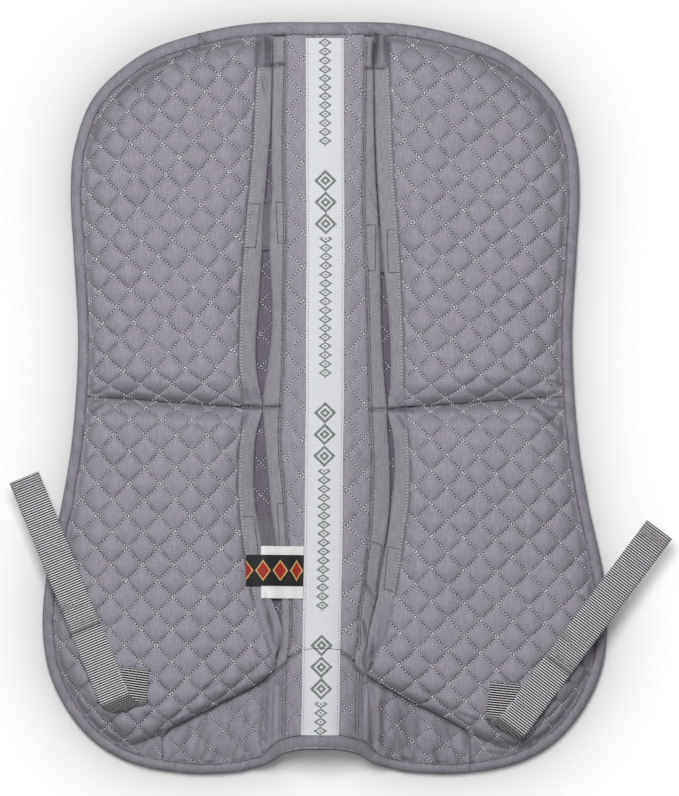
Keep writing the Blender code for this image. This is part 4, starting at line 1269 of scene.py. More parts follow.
def coverOutline(end, word):
    # closed outline of a pocket cover of the right half, with the other side's lines where asked
    low, high = mouths[end]
    sign = 1 if end == "rear" else -1
    startX = float(slotX(word, -8)) + joinGap
    startY = float(lineValue(dividerLine, startX)) + sign * joinGap
    endY = float(lineValue(dividerLine, 200)) + sign * joinGap
    across = np.array([60, 75, 105, 135, 165, 190])
    seam = column(across, lineValue(dividerLine, across) + sign * joinGap)
    seam = np.vstack([[[startX, startY]], seam])
    side = np.array([[pathX(rimHalf, endY), endY]])
    mouthRows = stations(low, high)
    mouth = column(lineValue(mouthEdge[word], mouthRows) + joinGap, mouthRows)
    if end == "rear":
        slotRows, rearRows = stations(startY, low)[1:], stations(high, 286)
        inner = [column(slotX(word, slotRows) + joinGap, slotRows), mouth,
                 column(slotX(word, rearRows) + joinGap, rearRows)]
        rearX = float(inner[2][-1, 0])
        corner = np.array([[rearX, pathY(rimHalf, rearX, True)]])
        rim = rimPart(lambda x, y: (x > rearX) & (y > endY))
        return np.vstack(inner + [corner, rim, side, seam[::-1]])
    slotRows, neckRows = stations(high, startY)[:-1], stations(-206, low)
    neckX = float(slotX(word, -206)) + joinGap
    path = witherPath[word]
    curve = path[(path[:, 0] > neckX) & (path[:, 1] > -292)]
    curve = curve + np.array([joinGap, joinGap])
    tipX = float(curve[-1, 0])
    corner = np.array([[tipX, pathY(rimHalf, tipX, False)]])
    inner = [column(slotX(word, neckRows) + joinGap, neckRows), mouth,
             column(slotX(word, slotRows) + joinGap, slotRows)]
    rim = rimPart(lambda x, y: (x > tipX) & (y < endY))
    return np.vstack(inner + [seam, side, rim, corner, curve[::-1]])


def makeCover(end, word, fine=14):
    key = f"{end}_{word}"
    outline = mirrorLoop(coverOutline(end, word), word)
    onRim = loopDistance(outline, rimLoop)[0] < 0.3
    onSeam = witherDistance(outline[:, 0], outline[:, 1]) < 0.3
    reach = slopeShift(outline[:, 0], outline[:, 1]) * onRim
    reach = reach + witherShift(outline[:, 0], outline[:, 1]) * onSeam
    onDivider = lineDistance(np.abs(outline[:, 0]), outline[:, 1], dividerPath) < 1.0
    reach = (reach + dividerShift(outline[:, 0]) * onDivider * ~onRim)[:, None]
    run = np.roll(outline, -1, 0) - np.roll(outline, 1, 0)
    across = np.stack([run[:, 1], -run[:, 0]], 1) / (np.linalg.norm(run, axis=1)[:, None] + 1e-9)
    outward = across * np.sign(loopDistance(outline - across * 0.5, outline)[0])[:, None]
    grid = trimmedLattice(outline + outward * reach, quiltLattices[key], fine, coverPlan)
    (x, y), (s, t) = grid["plan"].T, grid["cell"].T
    gaps = seamGaps(x, y)
    z, quilted = coverTop(x, y, s, t, coverSeeds[key], word, gaps)
    foot = layerFoot(x, y)
    rim = smoothStep((gaps["bound"] + 0.5) / 6.0)
    z = z * rim + np.minimum(z, foot + 2.9 + gaps["bound"] * 0.45) * (1 - rim)
    rise = coverRise(x, y, word, gaps)
    bottom = np.minimum(foot + rise * 0.98, z - 1.4)
    item = shell(f"pocket_cover_{key}", np.column_stack([x, y, z]), np.column_stack([x, y, bottom]),
                 grid["quads"], quiltCloth, grid["cell"])
    # seam: dark sewn lines at the mouth, the divider and the wither seam; the terms after them add painted shade
    past = np.abs(x) - lineValue(mouthEdge[word], y)
    seam = np.exp(-(past / 0.9) ** 2) * 0.35 + 0.5 * np.exp(-(gaps["divider"] / 1.0) ** 2) \
        + 0.8 * np.exp(-(gaps["wither"] / 1.2) ** 2) * (1 - 0.7 * smoothStep((-272 - y) / 4))
    # painted shade in the valley along the divider seam
    valleyShade = 0.3 if end == "rear" else 0.5
    seam = seam + valleyShade * np.exp(-(gaps["divider"] / 8) ** 2) * smoothStep(past / 10)
    # painted shade on the slopes down to the binding at both ends, deeper at the rear
    ends = smoothStep((y - 170) / 60) + smoothStep((-170 - y) / 60)
    seam = seam + np.where(y > 0, 0.46, 0.3) * np.exp(-(gaps["bound"] / 16) ** 2) * ends
    # painted shade on the slope down to the wither seam
    seam = seam + 0.25 * np.exp(-(gaps["bulge"] / 11) ** 2) * smoothStep((-150 - y) / 40)
    # painted shade in the valleys of the folds, and the band's own darker cloth past the mouth
    seam = seam + np.clip(-0.22 * clothFolds(x, y, word), 0, 0.55) + 0.26 * smoothStep(-past / 0.8)
    # painted shade in the pleats at the rear end of the band
    pleatShade = np.clip(0.55 + 1.1 * softNoise(x, y * 0.05, 2.4, 19), 0.1, 1.2)
    seam = seam + 0.9 * pleatShade * smoothStep((y - 267) / 3) * smoothStep(-past / 2)
    markSkins(item, "quilted", quilted)
    markSkins(item, "seam", seam)
    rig.ride(item, bodyOf[word])
    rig.replaces(item, f"pocket_panel_{key}")
    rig.slot(item, "quilt")
    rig.padded(item, fill=0.7)

    def keep(px, py):
        inner = np.abs(px) > lineValue(mouthEdge[word], py) + 0.8
        return inner & (boundDistance(px, py) > 0.4) & (witherDistance(px, py) > 0.6)

    starts, ends = latticeStitches(grid, z, keep)
    thread = stitchMesh(f"cover_stitches_{key}", starts, ends, quiltThread)
    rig.ride(thread, bodyOf[word])
    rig.slot(thread, "quilt")


for end in ("rear", "front"):
    for word in ("left", "right"):
        makeCover(end, word)
print("pocket covers made")


def meshPlaces(mesh):
    place = np.zeros(len(mesh.vertices) * 3, np.float32)
    mesh.vertices.foreach_get("co", place)
    return place.reshape(-1, 3)


def flipUnder(item):
    # turn a mesh made upside down the right way: z changes sign, and so does each face
    mesh = item.data
    place = meshPlaces(mesh)
    place[:, 2] *= -1
    mesh.vertices.foreach_set("co", place.ravel())
    mesh.flip_normals()
    mesh.update()


def makeBase(word, fine=8):
    half = np.vstack([[[spineGap, rimHalf[0, 1]]], rimPart(lambda x, y: x > spineGap),
                      [[spineGap, rimHalf[-1, 1]]]])
    rows = np.linspace(rimHalf[-1, 1], rimHalf[0, 1], 60)[1:-1]
    half = np.vstack([half, column(np.full(len(rows), spineGap), rows)])
    grid = trimmedLattice(mirrorLoop(half, word), quiltLattices["base"], fine)
    (x, y), (s, t) = grid["plan"].T, grid["cell"].T
    pillow = np.minimum(quiltPuff(s, t, 71), 1)
    rim = smoothStep(boundDistance(x, y) / 8.0)
    bottom = ground(x, y) + 1.5 * (1 - pillow) * rim + 1.9 * (1 - rim)
    top = ground(x, y) + padSize["base"] - 0.9 * (1 - pillow)
    item = shell(f"base_{word}", np.column_stack([x, y, top]), np.column_stack([x, y, bottom]),
                 grid["quads"], shadedLiningCloth, grid["cell"])
    markSkins(item, "quilted", np.ones(len(x)))
    item.data.materials.append(quiltCloth)
    under = np.zeros(len(item.data.polygons), np.int32)
    under[len(grid["quads"]):] = 1
    item.data.polygons.foreach_set("material_index", under)
    joinHalves(item)
    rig.replaces(item, f"base_panel_{word}")
    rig.slot(item, "quilt")
    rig.padded(item, fill=0.5)
    starts, ends = latticeStitches(grid, bottom, lambda px, py: boundDistance(px, py) > 0.4)
    flip = np.array([1, 1, -1])
    thread = stitchMesh(f"base_stitches_{word}", starts * flip, ends * flip, quiltThread)
    flipUnder(thread)
    joinHalves(thread)
    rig.slot(thread, "quilt")
    starts, ends = latticeStitches(grid, top, lambda px, py: (np.abs(px) > 33) & (np.abs(px) < 60)
                                   & (py > -190) & (py < 262))
    lining = stitchMesh(f"lining_stitches_{word}", starts, ends, paleThread)
    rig.ride(lining, bodyOf[word])
    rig.slot(lining, "quilt")


for word in ("left", "right"):
    makeBase(word)
print("base panels made")


spineSeed = 53


def spineTop(x, y, s, t, word):
    # low pillows beside the tape, small folds, and a groove at the seam of the facing
    off = lineValue(stripEdge[word], y) - np.abs(x)
    shown = smoothStep((np.abs(x) - 16.0) / 4) * smoothStep(off / 3.0 + 0.2)
    puff = 1.6 * quiltPuff(s, t, spineSeed) * shown
    groove = -0.5 * np.exp(-(off / 1.2) ** 2) * (np.abs(x) > 17)
    uneven = softNoise(x, y, 5, spineSeed) * 0.15
    return layerFoot(x, y) + padSize["cover"] - 0.2 + puff + groove + uneven \
        + creases(np.abs(x), y, stripFolds[word])


def makeSpine(word, fine=12):
    rows = stations(-208, 286)
    edge = column(lineValue(stripEdge[word], rows) - joinGap, rows)
    rearX = float(edge[-1, 0])
    rear = rimPart(lambda x, y: (y > 0) & (x > spineGap) & (x < rearX))
    corner = np.array([[rearX, pathY(rimHalf, rearX, True)]])
    path = witherPath[word]
    curve = path[(path[:, 0] > spineGap) & (path[:, 0] < 26.5)] + np.array([0, joinGap])
    half = np.vstack([[[spineGap, rimHalf[0, 1]]], rear, corner, edge[::-1], curve[::-1],
                      [[spineGap, witherY + joinGap]]])
    key = f"spine_{word}"
    grid = trimmedLattice(mirrorLoop(half, word), quiltLattices[key], fine)
    (x, y), (s, t) = grid["plan"].T, grid["cell"].T
    z = spineTop(x, y, s, t, word)
    z = np.minimum(z, layerFoot(x, y) + 2.9 + 6 * smoothStep(boundDistance(x, y) / 4))
    item = shell(f"spine_strip_{word}", np.column_stack([x, y, z]),
                 np.column_stack([x, y, layerFoot(x, y)]), grid["quads"], quiltCloth, grid["cell"])
    off = lineValue(stripEdge[word], y) - np.abs(x)
    shown = smoothStep(off / 1.5)
    seam = 0.45 * np.exp(-(off / 0.9) ** 2) + 0.8 * np.exp(-(witherDistance(x, y) / 1.0) ** 2)
    markSkins(item, "quilted", shown)
    markSkins(item, "seam", seam)
    joinHalves(item)
    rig.replaces(item, f"spine_panel_{word}")
    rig.slot(item, "quilt")
    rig.padded(item, fill=0.5)

    def keep(px, py):
        beside = (np.abs(px) > 15.5) & (np.abs(px) < lineValue(stripEdge[word], py) - 0.8)
        return beside & (boundDistance(px, py) > 0.4)

    starts, ends = latticeStitches(grid, z, keep)
    thread = stitchMesh(f"spine_stitches_{word}", starts, ends, quiltThread, radius=0.36)
    joinHalves(thread)
    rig.slot(thread, "quilt")


witherShape = {
    "seed": 67,
    "seamLines": (28.4, 30.6),      # the double seam each side of the tape
    "valley": 40.0,                 # lowest line each side of the arch
    "foldEnd": 50.0,                # folds between the double seam and here, quilting beyond
    "folds": [
        (34, -222, 35, -284, 1.6, -1.2), (37.5, -226, 39, -286, 1.7, 1.3),
        (41.5, -230, 42.5, -288, 1.5, -1.3), (45.5, -233, 47, -290, 1.8, 1.1),
        (50, -237, 50.5, -290, 1.6, -1.0), (56, -243, 55, -288, 2.2, 0.6),
        (31, -216, 32, -258, 1.3, 0.7), (64, -248, 60, -292, 2.5, -0.6),
        (76, -254, 70, -296, 3.0, 0.6), (86, -262, 84, -294, 2.5, -0.4),
        (20, -212, 24, -238, 1.4, -0.4),
    ],
}


def witherTop(x, y, s, t, seed):
    # flat by the tape, folded beside the double seams and quilted beyond them
    off = np.abs(x)
    seam = witherDistance(x, y)
    low, far = witherShape["seamLines"]
    inner = smoothStep((off - 16.0) / 4) * smoothStep((low - off) / 3)
    outer = smoothStep((off - witherShape["foldEnd"] + 6) / 10)
    high = np.where(x > 0, 2.3, 1.9)
    puff = high * quiltPuff(s, t, seed) * np.maximum(inner * 0.6, outer) * smoothStep(seam / 6 + 0.1)
    grooves = -0.7 * np.exp(-((off - low) / 0.8) ** 2) - 0.7 * np.exp(-((off - far) / 0.8) ** 2)
    side = 1.5 * softNoise(x, y * 0.12, 4.5, seed + 2)
    side = side * smoothStep((off - 31) / 4) * smoothStep((60 - off) / 10)
    rough = softNoise(x, y, 5, seed) * 0.2 + softNoise(x, y, 26, seed + 1) * 0.9 * smoothStep(seam / 20)
    rough = rough + 1.5 * softNoise(x, y * 0.25, 6.0, seed + 6) * smoothStep((off - 44) / 8)
    rough = rough + 0.55 * softNoise(off + 0.35 * y, y * 0.2, 2.4, seed + 8) * smoothStep((off - 42) / 6)
    bound = boundDistance(x, y)
    pucker = 0.9 * softNoise(x, y, 7, seed + 4) * np.exp(-np.minimum(seam, bound) / 7) * (off > 18)
    valley = -3.6 * np.exp(-((off - witherShape["valley"]) / 5.0) ** 2) * smoothStep(seam / 8) \
        * smoothStep(bound / 5 + 0.3)
    lift = valley + 1.4 * smoothStep((off - 45) / 25) * smoothStep(seam / 16) * smoothStep(bound / 14)
    return layerFoot(x, y) + padSize["cover"] - 0.2 + puff + grooves + side + rough + pucker + lift \
        + creases(off, y, witherShape["folds"])


def makeWither(word, fine=12):
    path = witherPath[word]
    curve = path[(path[:, 0] > spineGap) & (path[:, 1] > -292)] - np.array([joinGap, joinGap])
    tipX = float(curve[-1, 0])
    tip = np.array([[tipX, pathY(rimHalf, tipX, False)]])
    rim = rimPart(lambda x, y: (y < -200) & (x > spineGap) & (x < tipX))
    half = np.vstack([[[spineGap, witherY - joinGap]], curve, tip, rim, [[spineGap, rimHalf[-1, 1]]]])
    key = f"wither_{word}"
    grid = trimmedLattice(mirrorLoop(half, word), quiltLattices[key], fine)
    (x, y), (s, t) = grid["plan"].T, grid["cell"].T
    z = witherTop(x, y, s, t, witherShape["seed"])
    z = np.minimum(z, layerFoot(x, y) + 2.9 + 8 * smoothStep(boundDistance(x, y) / 4))
    item = shell(f"wither_panel_cloth_{word}", np.column_stack([x, y, z]),
                 np.column_stack([x, y, layerFoot(x, y)]), grid["quads"], quiltCloth, grid["cell"])
    off = np.abs(x)
    low, high = witherShape["seamLines"]
    shown = 1 - smoothStep((off - low) / 1.5) * smoothStep((witherShape["foldEnd"] - 3 - off) / 3)
    # painted shade in the valley beside the arch
    fold = 0.7 * np.exp(-((off - witherShape["valley"]) / 6) ** 2)
    fold = fold * (0.5 + softNoise(x, y * 0.1, 4.0, 21))
    # painted shade in the crumples
    crumpleShade = (0.5 + softNoise(x, y * 0.25, 6.0, 73)) * (0.30 if word == "left" else 0.48)
    crumpleShade = crumpleShade + 0.35 * softNoise(off + 0.35 * y, y * 0.2, 2.4, 75)
    crumpleShade = crumpleShade * smoothStep((off - 44) / 8)
    # painted shade over the panel beyond the valley, deeper on the right
    shade = 0.06 if word == "left" else 0.16
    seam = 0.9 * np.exp(-(witherDistance(x, y) / 2.2) ** 2) * (1 - 0.7 * smoothStep((-272 - y) / 4)) \
        + np.clip(fold + crumpleShade, 0, 1) + shade * smoothStep((off - 40) / 10) \
        + 0.55 * np.exp(-((off - low) / 0.7) ** 2) + 0.55 * np.exp(-((off - high) / 0.7) ** 2)
    markSkins(item, "quilted", shown)
    markSkins(item, "seam", seam)
    joinHalves(item)
    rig.replaces(item, f"wither_panel_{word}")
    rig.slot(item, "quilt")
    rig.padded(item, fill=0.5)

    def keep(px, py):
        place = np.abs(px)
        clear = (boundDistance(px, py) > 0.4) & (witherDistance(px, py) > 0.8)
        return clear & (((place > 16) & (place < low - 1)) | (place > witherShape["foldEnd"] - 2))

    starts, ends = latticeStitches(grid, z, keep)
    thread = stitchMesh(f"wither_stitches_{word}", starts, ends, paleThread, radius=0.32)
    joinHalves(thread)
    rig.slot(thread, "quilt")

    def on(px, py):
        return witherTop(px, py, px * 0, px * 0, witherShape["seed"]) + 0.25

    sign = sideSign[word]
    lines = []
    for place in (low, high):
        start = float(np.interp(place, path[:-1, 0], path[:-1, 1]))
        rows = stations(start - 1, pathY(boundHalf, place, False) + 1)
        lines.append(column(np.full(len(rows), place * sign), rows))
    below = (path[6:-1] - np.array([1.0, 1.6])) * np.array([sign, 1])
    lines.append(below[below[:, 1] > -282])
    seamPieces = sewLines(f"wither_seam_{word}", lines, on, 2.4, seamThread, 0.24)
    joinHalves(seamPieces)
    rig.slot(seamPieces, "quilt")


for word in ("left", "right"):
    makeSpine(word)
    makeWither(word)
print("spine strips and wither panels made")


def rolledEdge(distance, reach):
    # how far a rounded edge falls below the flat: 1 - root(1 - u^2) in its last millimetres
    u = np.clip(1 - distance / reach, 0, 1)
    return 1 - np.sqrt(1 - np.minimum(u, 0.995) ** 2)


def facingTop(x, y, word):
    # inner band: up from the spine strip to the slot, with a rounded hem, tucked under the wither panel
    off = np.abs(x)
    inner, slot = lineValue(stripEdge[word], y), slotX(word, y, False)
    share = np.clip((off - inner) / np.maximum(slot - inner, 1), 0, 1)
    wave = softNoise(x * 0.3, y, 10, 81) * 0.4 + softNoise(x, y, 28, 82) * 0.5
    roll = (0.9 + wave) * np.sin(np.pi * share) ** 0.7
    groove = -0.4 * np.exp(-((off - inner) / 1.2) ** 2)
    rope = 0.35 * np.sin((y + 1.2 * (off - inner)) * 1.75) * np.exp(-((off - inner - 1.5) / 1.6) ** 2)
    groove = groove + rope
    z = layerFoot(x, y) + 3.0 + 2.3 * share + roll + groove - 1.5 * rolledEdge(slot - off, 2.2) \
        + creases(off, y, bandFolds[word])
    seamY = np.interp(off, witherPath[word][:-1, 0], witherPath[word][:-1, 1])
    under = smoothStep((seamY - y) / 2.5 + 0.4)
    z = z * (1 - under) + (layerFoot(x, y) + 1.6) * under
    rear = smoothStep(boundDistance(x, y) / 4.0)
    return z * rear + np.minimum(z, layerFoot(x, y) + 2.9) * (1 - rear)


def makeFacing(word):
    rows = stations(-229, 292, 1.6)
    share = np.linspace(0, 1, 20)[None, :]
    inner = lineValue(stripEdge[word], rows) + joinGap
    outer = slotX(word, rows, False) - joinGap
    x = (inner[:, None] * (1 - share) + outer[:, None] * share) * sideSign[word]
    y = np.broadcast_to(rows[:, None], x.shape)
    top = np.stack([x, y, facingTop(x, y, word)], -1)
    item = gridShell(f"facing_{word}", top, 1.4, facingCloth, np.stack([x / 10, y / 10], -1))
    # dark along the seam to the spine strip, with painted shade in the valleys of the folds
    seam = 0.4 * np.exp(-((np.abs(x) - inner[:, None]) / 0.9) ** 2) \
        + np.clip(-0.22 * creases(np.abs(x), y, bandFolds[word]), 0, 0.55)
    markSkins(item, "seam", seam)
    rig.ride(item, bodyOf[word])
    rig.replaces(item, f"inner_facing_{word}")
    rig.slot(item, "facing")
    declareSheet(item, top, "stretched", [f"base_{word}"])


def makeFlap(end, word):
    low, high = mouths[end]
    rows = stations(low - 1.4, high + 1.4, 1.6)
    share = np.linspace(0, 1, 22)[None, :]
    inner = slotX(word, rows) + joinGap
    outer = lineValue(mouthEdge[word], rows) - joinGap
    x = (inner[:, None] * (1 - share) + outer[:, None] * share) * sideSign[word]
    y = np.broadcast_to(rows[:, None], x.shape)
    z = plainTop(x, y, f"{end}_{word}") - 1.4 * rolledEdge(np.abs(x) - inner[:, None], 2.0)
    beyond = np.maximum(low - y, y - high)
    z = z - 0.4 * smoothStep(beyond / 0.6 + 0.4)
    top = np.stack([x, y, z], -1)
    thick = 1.7 - 0.9 * smoothStep((share - 0.9) / 0.1)
    item = gridShell(f"flap_{end}_{word}_cloth", top, thick, facingCloth, np.stack([x / 10, y / 10], -1))
    seam = 0.3 * np.exp(-((np.abs(x) - outer[:, None]) / 0.9) ** 2)
    markSkins(item, "seam", seam)
    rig.ride(item, f"flap_{end}_{word}")
    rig.replaces(item, f"mouth_flap_{end}_{word}")
    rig.slot(item, "facing")
    declareSheet(item, top, "stretched", [f"pocket_cover_{end}_{word}"])


for word in ("left", "right"):
    makeFacing(word)
    for end in ("rear", "front"):
        makeFlap(end, word)
print("mouth bands made")


# Stitched outlines of the closures: on the flap side and on the spine side, distance from the spine and y
closureLines = {
    "rear_left": ([(73, 157.6), (52, 157), (56, 122), (76, 121.6)],
                  [(33, 158), (39.5, 158.6), (38, 125.4), (33, 125)]),
    "rear_right": ([(50, 136), (70, 137.5), (70.5, 102), (51, 101.5), (50, 136)],
                   [(33, 140), (41, 140), (40.5, 103), (34, 103)]),
    "front_left": ([(79, -94.5), (57.5, -95.4), (54.5, -118), (53.5, -131), (76, -130.5), (77, -112)],
                   [(32, -84), (38.5, -85), (36.5, -119), (30.5, -119)]),
    "front_right": ([(50.7, -119.5), (72.9, -124.6), (65.6, -158.5), (47.6, -153.5), (50.7, -119.5)],
                    [(35.8, -114.5), (46.1, -118.5), (43.9, -134), (41, -155)]),
}


# Bar tacks across the bands, at the rear end of the rear mouths and at the divider seam
barLines = {
    "left": [[(29.5, 270.5), (42, 268.5), (56.5, 266.4)], [(36, -6.2), (50.4, -8), (70, -6.5)]],
    "right": [[(29.5, 266.3), (40, 266.2), (52.5, 266.4)], [(35, -9.2), (50.5, -9), (72, -9.4)]],
}


def topHeight(word):
    # height of the pad's upper side at a point, whichever band or cover is there
    def height(px, py):
        cover = np.where(py > -8, plainTop(px, py, f"rear_{word}"), plainTop(px, py, f"front_{word}"))
        facing = facingTop(px, py, word)
        return np.where(np.abs(px) > slotX(word, py, False) + 0.3, cover, facing) + 0.3
    return height


def makeBandSeams(word):
    sign = sideSign[word]
    flip = np.array([sign, 1])
    height = topHeight(word)

    def stripTop(px, py):
        return spineTop(px, py, px * 0, py * 0, word) + 0.15

    rows = stations(-203, 289, 3.0)
    inner, outer = ([column((lineValue(stripEdge[word], rows) + shift) * sign, rows)]
                    for shift in (-1.5, 1.5))
    bars = [np.array(line) * flip for line in barLines[word]]
    seams = (("facing_seam", outer, height, 3.0, 0.42), ("strip_seam", inner, stripTop, 2.9, 0.40),
             ("bar_stitches", bars, height, 1.7, 0.34))
    for name, paths, top, pitch, radius in seams:
        thread = sewLines(f"{name}_{word}", paths, top, pitch, seamThread, radius)
        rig.ride(thread, bodyOf[word])
        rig.slot(thread, "facing")
    for end in ("rear", "front"):
        low, high = mouths[end]
        outline, inside = closureLines[f"{end}_{word}"]
        rows = stations(low, high, 3.0)
        edge = lineValue(mouthEdge[word], rows)
        fine, _ = alongPath(np.array(outline, float), 1.0)
        onFlap = fine[:, 0] < lineValue(mouthEdge[word], fine[:, 1]) - 0.6
        onFlap &= (fine[:, 1] > low) & (fine[:, 1] < high)
        marks = [[fine[start:stop] * flip for start, stop in runsOf(part)] for part in (onFlap, ~onFlap)]
        marks[1].append(np.array(inside, float) * flip)
        for label, place, closure, body in (("flap", edge - 1.7, marks[0], f"flap_{end}_{word}"),
                                            ("cover", edge + 1.4, marks[1], bodyOf[word])):
            hem = [column(place * sign, rows)]
            seams = (("seam", hem, 2.6, paleThread, 0.30),
                     ("closure_seam", closure, 2.3, seamThread, 0.36))
            for name, paths, pitch, material, radius in seams:
                thread = sewLines(f"{label}_{name}_{end}_{word}", paths, height, pitch, material, radius)
                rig.ride(thread, body)
                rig.slot(thread, "facing")


def runsOf(mask):
    # start and end of each run of points where the mask holds, longer than two points
    padded = np.concatenate([[False], mask, [False]])
    change = np.flatnonzero(padded[1:] != padded[:-1])
    return [(a, b) for a, b in zip(change[::2], change[1::2]) if b - a > 2]


for word in ("left", "right"):
    makeBandSeams(word)
print("band seams made")


bindingShape = {
    # cross-section from the inner top edge over the outside to the inner bottom edge and back inside:
    # share of the binding's width in from the pad's edge, height
    "section": [
        (0.98, 8.1), (0.95, 8.5), (0.90, 8.75), (0.85, 8.7), (0.79, 9.0), (0.68, 9.55), (0.55, 9.8),
        (0.42, 9.7), (0.30, 9.25), (0.19, 8.4), (0.10, 7.2), (0.04, 6.0), (0.0, 4.6), (0.02, 3.0),
        (0.09, 1.6), (0.22, 0.6), (0.40, 0.15), (0.63, 0.05), (0.87, 0.1), (0.97, 0.25), (0.97, 1.1),
        (0.71, 1.0), (0.40, 1.1), (0.21, 1.9), (0.11, 3.4), (0.09, 4.8), (0.12, 6.4), (0.22, 7.8),
        (0.43, 8.4), (0.71, 8.3), (0.95, 7.6),
    ],
    "spacing": 1.6,
    "wrinkle": 0.6,
    # wrinkles seen on the rear binding and the folded joint of the tape: x, y, x, y, width, height
    "folds": [
        (14, 302, 24, 292, 1.5, -1.0), (22, 303, 34, 292, 1.6, 0.9), (30, 303, 44, 291, 1.5, -1.1),
        (40, 302, 54, 291, 1.5, 0.8), (47, 301, 60, 290, 1.3, -0.8), (-101, 300, -95, 282, 1.1, 2.0),
        (-103.6, 300, -97.8, 282, 0.9, -2.6), (116, -303, 121, -290, 1.2, -1.1),
        (119, -303, 124, -290, 1.2, 0.8), (-30, 303, -24, 292, 1.6, -0.5),
        (60, 302, 72, 290, 2.0, 0.6), (-62, 302, -58, 290, 1.8, 0.5),
    ],
}


def makeBinding():
    loop = wholeLoop(halfOutline(24))
    closed = np.vstack([loop, loop[:1]])
    path, places = alongPath(closed, bindingShape["spacing"])
    path, places = path[:-1], places[:-1]
    run = np.roll(path, -1, 0) - np.roll(path, 1, 0)
    run /= np.linalg.norm(run, axis=1)[:, None]
    inward = np.stack([run[:, 1], -run[:, 0]], 1)
    wide = bindingWidth(inward, path[:, 0])[:, None]
    section = np.array(bindingShape["section"])
    depth, height = section[:, 0][None, :] * wide, section[:, 1][None, :]
    wave = (softNoise(places, places * 0, 6.5, 3) * 0.5 + softNoise(places, places * 0, 19, 4))[:, None]
    pucker = softNoise(places, places * 0, 3.4, 5)[:, None]
    near = np.exp(-((section[:, 0] - 0.72) / 0.2) ** 2)[None, :] * (height > 6)
    drag = softNoise(places[:, None] + 9 * section[:, 0][None, :], 0 * wide, 4.6, 12)
    wander = 0.9 * softNoise(places, places * 0, 7.5, 8)[:, None]
    depth = depth + wander * smoothStep((section[:, 0] - 0.5) / 0.4)[None, :] * (height > 6)
    x = path[:, :1] + inward[:, :1] * depth
    y = path[:, 1:] + inward[:, 1:] * depth
    z = ground(x, y) + height + bindingShape["wrinkle"] * pucker * near
    z = z + bindingShape["wrinkle"] * (wave * 0.5 + drag * 0.6) * (height > 6)
    z = z + creases(x, y, bindingShape["folds"]) * (height > 6)
    points = np.stack([x, y, z], -1)
    rows, columns = points.shape[:2]
    faces = gridFaces(rows + 1, columns, closed=True)
    faces = np.where(faces >= rows * columns, faces - rows * columns, faces)
    uv = np.stack(np.broadcast_arrays(places[:, None] / 10, np.arange(columns)[None, :]), -1)
    item = newObject("edge_binding", points.reshape(-1, 3), faces[:, ::-1], bindingCloth,
                     uv.reshape(-1, 2), sharp=70)
    # dark along the stitch line and the inner edge, random tone, and painted shade on the outer edge where the binding
    # turns down
    seam = 0.7 * np.exp(-((section[:, 0] - 0.87) / 0.06) ** 2)[None, :] * (height > 7) \
        + 0.6 * np.exp(-((section[:, 0] - 0.99) / 0.03) ** 2)[None, :] * (height > 7) \
        + 0.45 * np.exp(-((section[:, 0] - 0.03) / 0.12) ** 2)[None, :] \
        + 0.25 * np.clip(softNoise(places[:, None] + 9 * section[:, 0][None, :], 0 * wide, 7.0, 15), 0, 1)
    # painted shade in the valleys of the folds
    seam = seam + np.clip(-0.2 * creases(x, y, bindingShape["folds"]), 0, 0.6) * (height > 6)
    markPoints(item, "seam", seam)
    joinHalves(item)
    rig.replaces(item, "edge_binding_left", "edge_binding_right")
    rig.slot(item, "binding")
    sewn = path + inward * wide * 0.865
    sewn = np.vstack([sewn, sewn[:1]])
    thread = sewLines("binding_seam", [sewn], lambda px, py: ground(px, py) + 8.9, 2.8, seamThread, 0.34)
    joinHalves(thread)
    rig.slot(thread, "binding")


makeBinding()
print("binding made")


tapeShape = {"half": 15.3, "seam": 13.6, "front": -270.5, "rear": 291.5, "thick": 0.9, "lift": 0.6}


def tapeTop(x, y):
    ripple = softNoise(x, y, 14, 101) * 0.2 + softNoise(x * 0.2, y, 7, 102) * 0.15
    return layerFoot(x, y) + padSize["cover"] + tapeShape["lift"] + tapeShape["thick"] + ripple


def makeTapeMaterial():
    # woven ribbon with a plain geometric ornament: three large lozenges, then a long row of small ones
    material, tree, shader = newMaterial("tapeWeave", 0.75, 0.2)
    woven = clothPlace(tree)
    ribs = placeGroup(tree, wovenRibs, Place=woven, Pitch=0.9, Yarn=0.8)
    pixel = 0.4          # the ornament is drawn in woven steps
    repeat, first = 187.0, 184.0
    across, along = (place.calc("SNAP", pixel) for place in axes(tree, woven)[:2])
    period = (first + 5 * repeat - along) % repeat

    def lozenges(pitch, halfWide, shift=0.0):
        # |along| / half pitch + |across| / half width, over a row of lozenges
        spot = (period + (pitch * 4 - shift)) % pitch - pitch / 2
        return abs(spot) / (pitch / 2) + abs(across) / halfWide

    def ring(reach, inner, outer):
        return (reach < outer) * (reach > inner)

    small, large = lozenges(7.2, 5.4, 52.0), lozenges(17.4, 9.0)
    chain = ring(small, 0.60, 1.0).calc("MAXIMUM", small < 0.22)
    big = ring(large, 0.70, 1.0).calc("MAXIMUM", ring(large, 0.18, 0.46))
    mark = (chain * ring(period, 54.0, 168.0)).calc("MAXIMUM", big * (period < 52.2))
    speck = noiseField(tree, objectPlace(tree), 1500.0, 1.0)
    weave = ribs["Rib"] * 0.6 + ribs["Yarns"] * 0.4
    cloth = mixColour(tree, ramp(tree, weave + speck, 0.5, 1.4), shades["tapeGrey"], shades["tapeWhite"])
    inked = mixColour(tree, mark * ramp(tree, speck, 0.3, 0.62, 0.6, 1.0), cloth, shades["ornament"])
    feed(shader.inputs["Base Color"], inked)
    bumped(tree, shader, weave + mark * 0.8, 0.00018)
    return material


